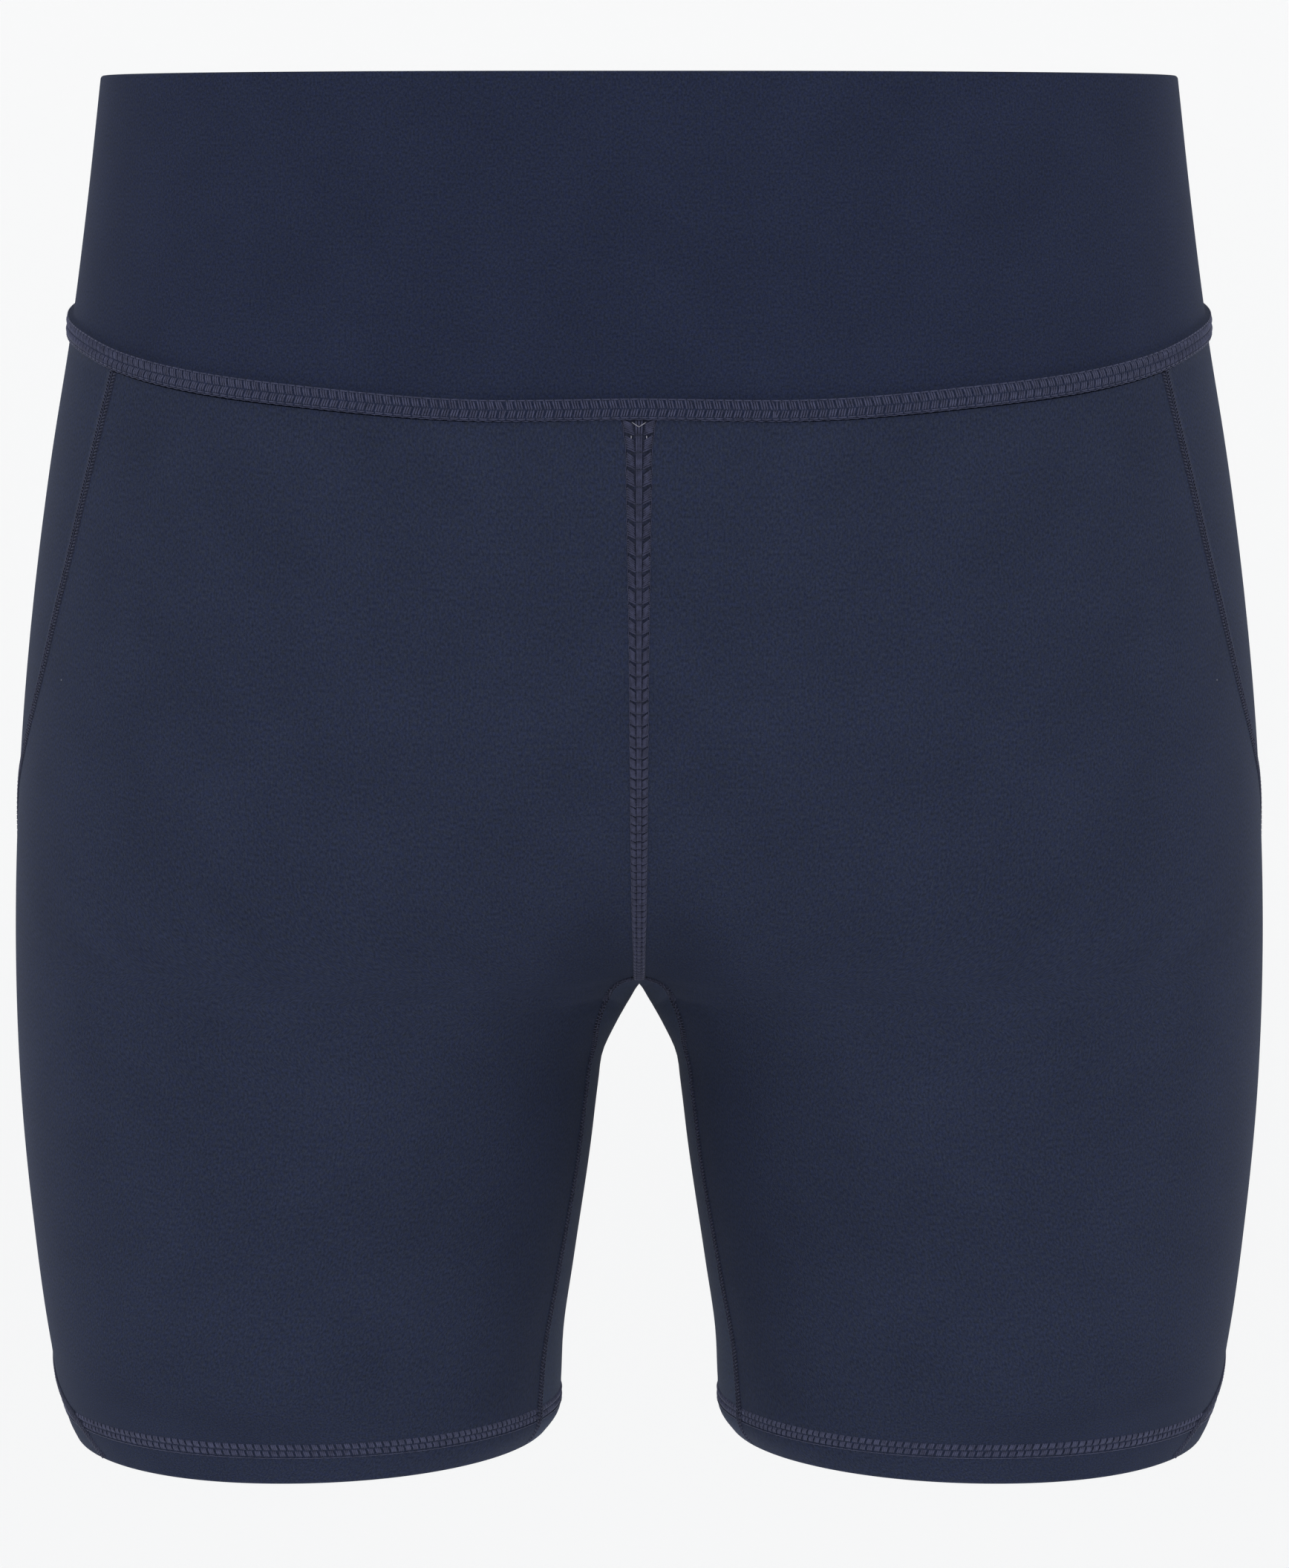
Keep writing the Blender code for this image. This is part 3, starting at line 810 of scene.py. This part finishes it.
@dataclass
class SeamStrip:
    """The cloth on both sides of a seam, as a table of points by distance along and across the seam.

    The rows lie at the distances along, and the columns at STRIP_ACROSS; lift is the height of the ridge.
    """

    points: Array
    normals: Array
    along: Array
    closed: bool = False
    lift: Callable[[Array], Array] = lambda w: 0 * w

    @property
    def length(self) -> float:
        """The seam's length."""
        return float(self.along[-1])

    def at(self, s: Array, w: Array, h: Array) -> tuple[Array, Array]:
        """Points at a distance along the seam, across it and out of the cloth.

        The table is read with straight lines between its rows and columns.

        Args:
            s: distance along the seam.
            w: distance across it.
            h: height above the cloth and its ridge.

        Returns:
            The points and the outward directions there.
        """
        s, w, h = np.broadcast_arrays(s, w, h)
        s = np.mod(s, self.length) if self.closed else np.clip(s, 0, self.length)
        w = np.clip(w, -STRIP_REACH, STRIP_REACH)
        i = np.clip(np.searchsorted(self.along, s, side="right") - 1, 0, len(self.along) - 2)
        j = np.clip(np.searchsorted(STRIP_ACROSS, w, side="right") - 1, 0, STRIP_COLUMNS - 2)
        a = ((s - self.along[i]) / (self.along[i + 1] - self.along[i]))[..., None]
        b = ((w - STRIP_ACROSS[j]) / (STRIP_ACROSS[j + 1] - STRIP_ACROSS[j]))[..., None]

        def read(table: Array) -> Array:
            """The table between its four nearest entries."""
            near = table[i, j] * (1 - a) + table[i + 1, j] * a
            far = table[i, j + 1] * (1 - a) + table[i + 1, j + 1] * a
            return near * (1 - b) + far * b

        out = unit(read(self.normals))
        return read(self.points) + (h + self.lift(w))[..., None] * out, out


STRIP_STEP = 0.0006
STRIP_REACH = 0.0072
STRIP_COLUMNS = 13
STRIP_MIDDLE = STRIP_COLUMNS // 2
STRIP_ACROSS = np.linspace(-STRIP_REACH, STRIP_REACH, STRIP_COLUMNS)
STRIP_ABOVE_HEM = 0.0009
MIDDLE_TURNS = 0.36
GUSSET_STRIP_COLUMNS = 41
GUSSET_STRIP_SHARE = 0.45


def even_path(z: Array, turn: Array) -> tuple[Array, Array]:
    """The same path with evenly spaced points, STRIP_STEP apart."""
    run = lengths(BODY.points(z, turn))
    stops = np.linspace(0, run[-1], max(8, int(run[-1] / STRIP_STEP)))
    return np.interp(stops, run, z), np.interp(stops, run, turn)


def body_strip(z: Array, turn: Array, closed: bool = False, ring: bool = False) -> SeamStrip:
    """The strip along a line of the body surface.

    Across the seam, the levels and turns move by the step that gives the wanted distance square to it:
    the two numbers are solved from the surface's own steps round and up, and the point is then read
    from the surface itself.

    Args:
        z: levels of the line.
        turn: turns of the line.
        closed: the line ends where it starts.
        ring: the line goes round the body's right half, and its mirror image closes it.

    Returns:
        The strip; across is positive up the body for a ring, and else towards the side.
    """
    z, turn = even_path(z, turn)
    around, up = BODY.steps(z, turn)
    out = unit(np.cross(around, up))
    line = BODY.points(z, turn)
    tangent = unit(np.gradient(line, axis=0))
    if closed:
        tangent[0] = tangent[-1] = unit(line[1] - line[-2])
    square = unit(np.cross(out, tangent))
    aa, ab, bb = (np.sum(p * q, axis=-1) for p, q in ((around, around), (around, up), (up, up)))
    pa, pb = np.sum(square * around, axis=-1), np.sum(square * up, axis=-1)
    det = aa * bb - ab**2
    turn_rate, z_rate = (bb * pa - ab * pb) / det, (aa * pb - ab * pa) / det
    sign = np.sign(np.median(z_rate if closed or ring else turn_rate))
    zs = np.maximum(z[:, None] + sign * z_rate[:, None] * STRIP_ACROSS, HEM_Z + STRIP_ABOVE_HEM)
    turns = turn[:, None] + sign * turn_rate[:, None] * STRIP_ACROSS
    points, normals = BODY.points(zs, turns), BODY.normals(zs, turns)
    if ring:
        points = np.concatenate([points, mirrored(points)[-2::-1]])
        normals = np.concatenate([normals, mirrored(normals)[-2::-1]])
    return SeamStrip(points, normals, lengths(points[:, STRIP_MIDDLE]), closed or ring)


def grid_strip(points: Array, towards: Array) -> SeamStrip:
    """A strip from its grid of points: its normals are square to the grid, on the side of some direction.

    Args:
        points: rows along the seam by columns across it.
        towards: directions that the middle column's normals have to face.

    Returns:
        The strip.
    """
    normals = unit(np.cross(np.gradient(points, axis=0), np.gradient(points, axis=1)))
    facing = np.sum(normals[:, STRIP_MIDDLE] * towards, axis=-1)
    normals *= np.sign(np.median(facing))
    return SeamStrip(points, normals, lengths(points[:, STRIP_MIDDLE]))


def middle_strip(middle_turn: float) -> SeamStrip:
    """The strip along the centre front or centre back seam, from the waist seam to the gusset's tip.

    At each level the distance across is measured along the horizontal section, from the middle, and
    the turn that lies that far away is read from the section.

    Args:
        middle_turn: 0 for the front or 4 for the back.

    Returns:
        The strip.
    """
    top = ROWS.panel_top(np.array([middle_turn]))[0]
    z, _ = even_path(np.linspace(top, GUSSET_TIP_Z, ROWS.fine), np.full(ROWS.fine, middle_turn))
    fine = middle_turn + np.linspace(-MIDDLE_TURNS, MIDDLE_TURNS, ROWS.fine + 1)
    run = lengths(BODY.points(z[:, None], fine), axis=1)
    run -= run[:, [ROWS.fine // 2]]
    turns = np.stack([np.interp(STRIP_ACROSS, row, fine) for row in run])
    return grid_strip(BODY.points(z[:, None], turns), np.array([0.0, middle_turn - 2, 0.0]))


def gusset_strip(back: bool) -> SeamStrip:
    """The strip along the gusset's front or back edge on the right, from its tip to the hem.

    On one side of the seam it lies on the panel, and on the other on the gusset's own parabolas.

    Args:
        back: follows the back edge and not the front one.

    Returns:
        The strip.
    """
    z, turn = even_path(*ROWS.gusset_edge())
    panel = body_strip(z, 4 - turn if back else turn)
    stops = np.linspace(0, len(z) - 1, len(panel.along))
    z, turn = (np.interp(stops, np.arange(len(z)), row)[:, None] for row in (z, turn))
    v = np.linspace(-1, 1, GUSSET_STRIP_COLUMNS)
    rows = BODY.gusset_points(z, turn, -v if back else v)
    run = lengths(rows, axis=1)
    reach = np.minimum(STRIP_ACROSS[STRIP_MIDDLE + 1:], GUSSET_STRIP_SHARE * run[:, -1:])
    index = np.stack([np.interp(r, k, np.arange(len(v))) for r, k in zip(reach, run)])
    low = np.clip(index.astype(int), 0, len(v) - 2)
    part = (index - low)[..., None]
    pick = np.arange(len(z))[:, None]
    on_gusset = rows[pick, low] * (1 - part) + rows[pick, low + 1] * part
    on_panel = panel.points[:, ::-1] if back else panel.points
    points = np.concatenate([on_panel[:, :STRIP_MIDDLE - 1:-1], on_gusset], axis=1)
    return grid_strip(points, panel.normals[:, STRIP_MIDDLE])


def tubes(paths: Array, out: Array, radius: float, flat: float, sides: int) -> tuple[Array, list, Array]:
    """Closed tubes along many short paths at once.

    A ring of points stands square to the path at each of its points: radius * flat high along the
    outward direction and radius wide across it.

    Args:
        paths: threads by points by three coordinates.
        out: the outward direction at each point.
        radius: half the thread's width.
        flat: the share of the width that the thread is high.
        sides: points round a ring.

    Returns:
        The vertices, the faces and a UV place for each vertex.
    """
    count, steps = paths.shape[:2]
    tangent = unit(np.gradient(paths, axis=1))
    over = unit(np.cross(tangent, out))
    high = np.cross(over, tangent)
    angle = np.arange(sides) * 2 * np.pi / sides
    ring = np.cos(angle)[:, None] * flat * high[:, :, None] + np.sin(angle)[:, None] * over[:, :, None]
    points = paths[:, :, None] + radius * ring
    index = numbers((count, steps, sides))
    quads = grid_faces(index, closed_columns=True)[:, ::-1]
    faces = quads.tolist() + index[:, 0].tolist() + index[:, -1, ::-1].tolist()
    run = lengths(paths, axis=1)[:, :, None] + 0 * angle
    uv = np.stack([run, np.broadcast_to(radius * angle, run.shape)], axis=-1)
    return points, faces, uv


class Stitch(NamedTuple):
    """One thread of a stitch: shares of the pitch along, shares of the half width across, and heights.

    The thread runs through its points in order; radius and flat give its section.
    """

    along: tuple[float, ...]
    across: tuple[float, ...]
    height: tuple[float, ...]
    radius: float
    flat: float = 1.0


BURIED = -0.00025
LOW = 0.00010
HIGH = 0.00034
STITCH_PHASE = 7.3
THREAD_PHASE = 3


def slanted(start: float, lean: float, low: float, top: float, radius: float, flat: float = 0.8) -> Stitch:
    """A loop that rises out of one needle line and leans over to the next."""
    share = np.array([0.0, 0.12, 0.5, 0.88, 1.0])
    along = tuple(start + lean * share)
    across = tuple(low + (top - low) * share)
    return Stitch(along, across, (BURIED, LOW, HIGH, LOW, BURIED), radius, flat)


def running(start: float, end: float, across: float, radius: float, height: float = HIGH) -> Stitch:
    """A short straight stitch along the seam that dives in at both ends."""
    share = np.array([0.0, 0.15, 0.5, 0.85, 1.0])
    along = tuple(start + (end - start) * share)
    return Stitch(along, (across,) * 5, (BURIED, 0.6 * height, height, 0.6 * height, BURIED), radius)


class StitchKind(Enum):
    """The kinds of seam on the shorts."""

    WAIST = "wide flatlock at the waist"
    FLATLOCK = "narrow flatlock between panels"
    LADDER = "centre front flatlock, stretched open at its top"
    COVER = "hem coverstitch"

    def pattern(self) -> tuple[Stitch, ...]:
        """The threads of one pitch."""
        if self is StitchKind.WAIST:
            loops = [slanted(0.10 + 0.28 * i, -0.22, 0.06, 0.80, 0.00030) for i in range(3)]
            loops += [slanted(0.10 + 0.28 * i, 0.22, -0.72, -0.06, 0.00030) for i in range(3)]
            needle = [running(0.08, 0.92, w, 0.00022, 0.00030) for w in (0.88, -0.86)]
            return (*loops, *needle)
        if self is StitchKind.FLATLOCK:
            loops = [slanted(0.15 + 0.5 * i, 0.34, -0.94, -0.20, 0.00026) for i in range(2)]
            loops += [slanted(0.15 + 0.5 * i, -0.34, 0.20, 0.94, 0.00026) for i in range(2)]
            return (*loops, running(0.05, 0.95, 0.0, 0.00026))
        if self is StitchKind.LADDER:
            legs = [slanted(0.04 + 0.13 * i, 0.30, 0.88 * side, 0.36 * side, 0.00033)
                    for side in (-1, 1) for i in range(4)]
            legs += [slanted(0.60 + 0.13 * i, 0.22, 0.88 * side, 0.30 * side, 0.00028)
                     for side in (-1, 1) for i in range(2)]
            middle = [running(0.02, 0.94, w, 0.00036, 0.00040) for w in (-0.16, 0.0, 0.16)]
            return (*legs, *middle)
        loops = [slanted(0.16 + 0.24 * i, 0.30, low, low + 0.84, 0.00031, 0.65)
                 for low in (-0.93, 0.06) for i in range(3)]
        return tuple(loops)


@dataclass
class Stitching:
    """The threads and the raised bed of one seam.

    The bed is crown high, and the threads' heights above it are rise times their pattern's. The seam
    stops the length end before its strip does.
    """

    name: str
    strip: SeamStrip
    kind: StitchKind
    half_width: Callable[[Array], Array]
    pitch: Callable[[Array], Array]
    crown: float = 0.0003
    bed: bool = True
    end: float = 0.0
    rise: float = 1.0
    edge_threads: tuple[float, ...] = ()
    edge_radius: float = 0.00013
    edge_height: float = 0.00012
    edge_bob: float = 0.00006
    edge_wave: float = 0.035
    edge_steps: int = 4
    edge_sides: int = 5
    sides: int = 6
    unevenness: float = 0.06
    bed_step: float = 0.0016
    bed_depth: float = 0.0004
    bed_columns: int = 9
    slot: str = "panel_knit"

    def stops(self) -> Array:
        """The start of each pitch: whole pitches that fill the seam, each as long as asked there."""
        fine = np.linspace(0, self.strip.length - self.end, 2000)
        count = np.concatenate([[0], np.cumsum(np.diff(fine) / self.pitch(fine[:-1]))])
        whole = max(1, round(count[-1]))
        return np.interp(np.arange(whole + 1) / whole * count[-1], count, fine)

    def threads(self) -> list[tuple[Array, list, Array]]:
        """The tubes of every thread of the pattern, one set for each thread of a pitch."""
        stops = self.stops()
        begin, span = stops[:-1, None], np.diff(stops)[:, None]
        made = []
        for stitch in self.kind.pattern():
            s = begin + span * np.array(stitch.along)
            w = self.half_width(s) * np.array(stitch.across)
            phase = STITCH_PHASE * np.arange(len(stops) - 1) + THREAD_PHASE * stitch.across[2]
            uneven = 1 + self.unevenness * np.sin(phase)[:, None]
            h = self.rise * np.array(stitch.height) * uneven + self.crown
            paths, out = self.strip.at(s, w, h)
            made.append(tubes(paths, out, stitch.radius, stitch.flat, self.sides))
        return made

    def edges(self) -> list[tuple[Array, list, Array]]:
        """Long threads along the seam that wave a little from stitch to stitch."""
        stops = self.stops()
        share = np.arange(0, (len(stops) - 1) * self.edge_steps + 1) / self.edge_steps
        s = np.interp(share, np.arange(len(stops)), stops)
        h = self.edge_height + self.edge_bob * np.cos(2 * np.pi * share + 1)
        wave = self.edge_wave * np.cos(2 * np.pi * share)
        made = []
        for place in self.edge_threads:
            w = self.half_width(s) * (place + np.sign(place) * wave)
            paths, out = self.strip.at(s[None], w[None], h[None])
            made.append(tubes(paths, out, self.edge_radius, 1.0, self.edge_sides))
        return made

    def bed_grid(self) -> tuple[Array, list, Array]:
        """The raised bed under the threads: a low dome, closed underneath.

        Across it the height is crown * (1 - u^4), with u the share of the half width.
        """
        length = self.strip.length - self.end
        s = np.linspace(0, length, max(4, int(length / self.bed_step)))[:, None]
        u = np.linspace(-1, 1, self.bed_columns)
        u_all = np.concatenate([u, u[::-1]])
        h_all = np.concatenate([self.crown * (1 - u**4), np.full(len(u), -self.bed_depth)])
        points, _ = self.strip.at(s, self.half_width(s) * u_all, h_all + 0 * s)
        index = numbers(points.shape[:2])
        faces = grid_faces(index, closed_columns=True).tolist()
        faces += [index[0].tolist(), index[-1, ::-1].tolist()]
        return points, faces, np.stack([s + 0 * u_all, self.half_width(s) * u_all], axis=-1)

    def build(self, thread: bpy.types.Material, bed: bpy.types.Material, sides: Sequence[str]) -> None:
        """Makes the seam's pieces, on the right, on the left or on both.

        Args:
            thread: the threads' material.
            bed: the bed's material.
            sides: "right", "left" or "whole", one set of pieces for each.
        """
        made = {"threads": (join_parts(self.threads() + self.edges()), thread)}
        if self.bed:
            made["bed"] = (self.bed_grid(), bed)
        for side in sides:
            flip = side == "left"
            suffix = "" if side == "whole" else "_" + side
            for label, ((points, faces, uv), finish) in made.items():
                placed = mirrored(points) if flip else points
                piece = add_mesh(f"{self.name}_{label}{suffix}", placed, faces, uv, finish, flip)
                face_outwards(piece)


def join_parts(parts: Sequence[tuple[Array, list, Array]]) -> tuple[Array, list, Array]:
    """Several meshes' vertices, faces and UV places as one."""
    points, uvs, faces, offset = [], [], [], 0
    for part_points, part_faces, part_uv in parts:
        points.append(part_points.reshape(-1, 3))
        uvs.append(part_uv.reshape(-1, 2))
        faces += [[corner + offset for corner in face] for face in part_faces]
        offset += len(points[-1])
    return np.concatenate(points), faces, np.concatenate(uvs)


def face_outwards(piece: bpy.types.Object) -> None:
    """Turns each closed part's faces outwards."""
    work = bmesh.new()
    work.from_mesh(piece.data)
    bmesh.ops.recalc_face_normals(work, faces=work.faces)
    work.to_mesh(piece.data)
    work.free()


@dataclass
class ThreadEnds:
    """The light thread caught at the top of the centre front seam: a shallow V and two dots under it."""

    v_top: float = 0.0008
    v_depth: float = 0.0014
    v_half_width: float = 0.0021
    dots_down: float = 0.0052
    dots_apart: float = 0.0046
    dot_length: float = 0.0006
    v_radius: float = 0.00014
    dot_radius: float = 0.000182
    height: float = 0.0011
    sides: int = 6
    thread: ThreadFinish = ThreadFinish("light_thread", colour=(0.22, 0.22, 0.26))

    def build(self, strip: SeamStrip) -> None:
        """Lays the threads on the seam; their ends dip into it.

        Args:
            strip: the centre front seam's strip.
        """
        share = np.linspace(-1, 1, 9)
        height = self.height * (1 - share**4 / 2)
        v_down = self.v_top + self.v_depth * (1 - np.abs(share))
        threads = [(v_down, self.v_half_width * share, self.v_radius)]
        for side in (-0.5, 0.5):
            threads.append((self.dots_down + self.dot_length * share / 2, self.dots_apart * side,
                            self.dot_radius))
        parts = []
        for down, across, radius in threads:
            path, out = strip.at(down, across, height)
            parts.append(tubes(path[None], out[None], radius, 1.0, self.sides))
        points, faces, uv = join_parts(parts)
        piece = add_mesh("centre_front_thread_ends", points, faces, uv, self.thread.material())
        face_outwards(piece)


def steady(value: float) -> Callable[[Array], Array]:
    """A measure that stays the same all along a seam."""
    return lambda s: value + 0 * s


@dataclass
class Seams:
    """Every seam of the shorts, with its place, width and pitch."""

    flatlock_half: float = 0.0021
    flatlock_pitch: float = 0.0021
    waist_pitch: float = 0.0028
    waist_steps: int = 1200
    cover_half: float = 0.0022
    cover_pitch: float = 0.0025
    cover_above_hem: float = 0.0110
    cover_steps: int = 1600
    hem_clearance: float = 0.0014
    thread: ThreadFinish = ThreadFinish("seam_thread")
    centre_thread: ThreadFinish = ThreadFinish("centre_thread", colour=(0.0335, 0.0365, 0.0700))
    dark_thread: ThreadFinish = ThreadFinish("panel_thread", colour=(0.0290, 0.0325, 0.0610), sheen=0.12)
    # Painted shade: the seams' raised bed is the knit painted darker than the panels, so that the gaps
    # between the threads show the shade of the needle holes.
    bed: KnitFinish = KnitFinish("seam_bed_painted_shade", colour=(0.0165, 0.0195, 0.0370), sheen=0.06, lint_mm=0.0)

    def waist(self) -> Stitching:
        """The seam between the waistband and the panels."""
        turn = np.linspace(0, 4, self.waist_steps)
        strip = body_strip(BODY.waist_seam_z(turn), turn, ring=True)
        strip.lift = lambda w: WAIST_RIDGE.read(w + WAIST_SEAM_WIDTH / 2, "out")
        return Stitching("waist_seam", strip, StitchKind.WAIST, steady(WAIST_SEAM_WIDTH / 2),
                         steady(self.waist_pitch), crown=0.0, rise=0.7, bed=False,
                         edge_threads=(-1.02,), slot="waistband_knit")

    def centre_front(self) -> Stitching:
        """The centre front seam, wide under the waistband and narrow at the gusset's tip."""
        return Stitching("centre_front_seam", middle_strip(0.0), StitchKind.LADDER,
                         lambda s: CENTRE_FRONT.read(s, "width") / 2,
                         lambda s: CENTRE_FRONT.read(s, "pitch"), crown=0.00035,
                         edge_threads=(-0.97, 0.97))

    def narrow(self, name: str, strip: SeamStrip, end: float = 0.0) -> Stitching:
        """A narrow flatlock seam along a strip, which stops short of the strip's end."""
        return Stitching(name, strip, StitchKind.FLATLOCK, steady(self.flatlock_half),
                         steady(self.flatlock_pitch), crown=0.0001, rise=0.75, sides=5, end=end)

    def hem(self) -> Stitching:
        """The coverstitch round a hem, sunk into the groove that it pulls."""
        turn = np.linspace(0, 4, self.cover_steps)
        strip = body_strip(np.full_like(turn, HEM_Z + self.cover_above_hem), turn, closed=True)
        return Stitching("hem_seam", strip, StitchKind.COVER, steady(self.cover_half),
                         steady(self.cover_pitch), crown=-0.00030, bed=False, edge_threads=(-1.08,),
                         edge_wave=0.015)

    def build(self) -> None:
        """Makes every seam."""
        thread, dark, bed = self.thread.material(), self.dark_thread.material(), self.bed.material()
        self.waist().build(thread, bed, ["whole"])
        centre = self.centre_front()
        centre.build(self.centre_thread.material(), bed, ["whole"])
        ThreadEnds().build(centre.strip)
        self.narrow("centre_back_seam", middle_strip(4.0)).build(dark, bed, ["whole"])
        strips = {f"side_{which}_seam": body_strip(*ROWS.side_edge(which)) for which in ("front", "back")}
        strips |= {"gusset_front_seam": gusset_strip(False), "gusset_back_seam": gusset_strip(True)}
        for name, strip in strips.items():
            self.narrow(name, strip, self.hem_clearance).build(dark, bed, ["right", "left"])
        self.hem().build(thread, bed, ["right", "left"])


class Lamp(NamedTuple):
    """A soft rectangular lamp that faces the middle of the shorts."""

    name: str
    place: Triple
    size: tuple[float, float]
    watts: float


@dataclass
class Studio:
    """The camera at the photograph's viewing angle, a pale floor and soft light."""

    eye: Triple = (0.00165, -1.95, -0.03)
    tilt_degrees: float = 5.676
    lens_mm: float = 141.44
    sensor_mm: float = 36
    sight: float = 60
    floor_z: float = -1.05
    cap_radius: float = 0.01
    flat_radius: float = 6.5
    flat_rings: int = 12
    rim_radius: float = 2.0
    rim_rings: int = 14
    rim_height: float = 3.0
    floor_sides: int = 96
    sky: Triple = (0.97, 0.985, 1.0)
    sky_strength: float = 0.78
    lamps: tuple[Lamp, ...] = (
        Lamp("key", (-1.4, -2.8, 1.2), (2.0, 2.0), 16),
        Lamp("fill", (1.8, -2.6, 0.2), (2.0, 2.0), 10),
        Lamp("left_edge", (-2.4, 0.3, -0.1), (0.8, 2.0), 5),
        Lamp("right_edge", (2.4, 0.3, -0.1), (0.8, 2.0), 5),
    )

    def camera(self) -> None:
        """Makes the scene's camera: straight on and tilted down a little."""
        data = bpy.data.cameras.new("camera")
        data.lens = self.lens_mm
        data.sensor_width = self.sensor_mm
        data.clip_end = self.sight
        camera = into_scene("camera", data)
        camera.location = self.eye
        camera.rotation_euler = (np.radians(90 - self.tilt_degrees), 0, 0)
        bpy.context.scene.camera = camera

    def floor(self) -> None:
        """A round floor whose rim sweeps up: a flat disc, a quarter circle and a wall, turned once round."""
        flat = np.linspace(self.cap_radius, self.flat_radius, self.flat_rings)
        angle = np.linspace(0, np.pi / 2, self.rim_rings)[1:]
        sweep = self.flat_radius + self.rim_radius * np.sin(angle)
        radius = np.concatenate([flat, sweep, [self.flat_radius + self.rim_radius]])[:, None]
        up = np.concatenate([0 * flat, self.rim_radius * (1 - np.cos(angle)), [self.rim_height]])[:, None]
        around = np.linspace(0, 2 * np.pi, self.floor_sides, endpoint=False)
        points = np.stack([radius * np.cos(around), radius * np.sin(around),
                           self.floor_z + up + 0 * around], axis=-1)
        index = numbers(points.shape[:2])
        faces = grid_faces(index, closed_columns=True)[:, ::-1].tolist() + [index[0].tolist()]
        mesh = bpy.data.meshes.new("floor")
        mesh.from_pydata(points.reshape(-1, 3).tolist(), [], faces)
        mesh.shade_smooth()
        mesh.materials.append(PaleFloorFinish().material())
        into_scene("floor", mesh)

    def light(self, lamp: Lamp) -> None:
        """Hangs a lamp and aims it.

        Args:
            lamp: its name, place, size and power.
        """
        data = bpy.data.lights.new(lamp.name, "AREA")
        data.shape = "RECTANGLE"
        data.size, data.size_y = lamp.size
        data.energy = lamp.watts
        hung = into_scene(lamp.name, data)
        hung.location = lamp.place
        x, y, z = np.array([0.0, 0.0, HEM_Z / 2]) - np.array(lamp.place)
        hung.rotation_euler = (np.arctan2(np.hypot(x, y), -z), 0, np.arctan2(-x, y))

    def build(self) -> None:
        """Makes the camera, the floor, the lamps and the pale surroundings."""
        self.camera()
        self.floor()
        for lamp in self.lamps:
            self.light(lamp)
        world = bpy.data.worlds.new("studio")
        world.use_nodes = True
        sky = world.node_tree.nodes["Background"]
        sky.inputs["Color"].default_value = (*self.sky, 1)
        sky.inputs["Strength"].default_value = self.sky_strength
        bpy.context.scene.world = world
        bpy.context.scene.view_settings.view_transform = "Standard"


def main() -> None:
    """Builds the studio, the cloth and the seams."""
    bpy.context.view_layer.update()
    Studio().build()
    knit = KnitFinish("panel_knit").material()
    band_knit = KnitFinish("waistband_knit", colour=(0.0158, 0.0208, 0.0448), stretch=0.8).material()
    # Painted light: the gusset is the same knit as the panels, painted about one and a half times lighter to
    # stand in for the light that its inward-facing strip catches.
    gusset_knit = KnitFinish("gusset_knit", colour=(0.0285, 0.0375, 0.0700)).material()
    Waistband().build(band_knit)
    inner_front, inner_back = lambda: ROWS.inner_edge(0.0), lambda: ROWS.inner_edge(4.0)
    side_front, side_back = lambda: ROWS.side_edge("front"), lambda: ROWS.side_edge("back")
    ClothPanel("front", inner_front, side_front, columns=84).build(knit)
    ClothPanel("side", side_front, side_back, columns=30).build(knit)
    ClothPanel("back", side_back, inner_back, columns=72).build(knit)
    Gusset().build(gusset_knit)
    Seams().build()


if __name__ == "__main__":
    logging.basicConfig(level=logging.INFO, format="%(name)s %(message)s")
    main()
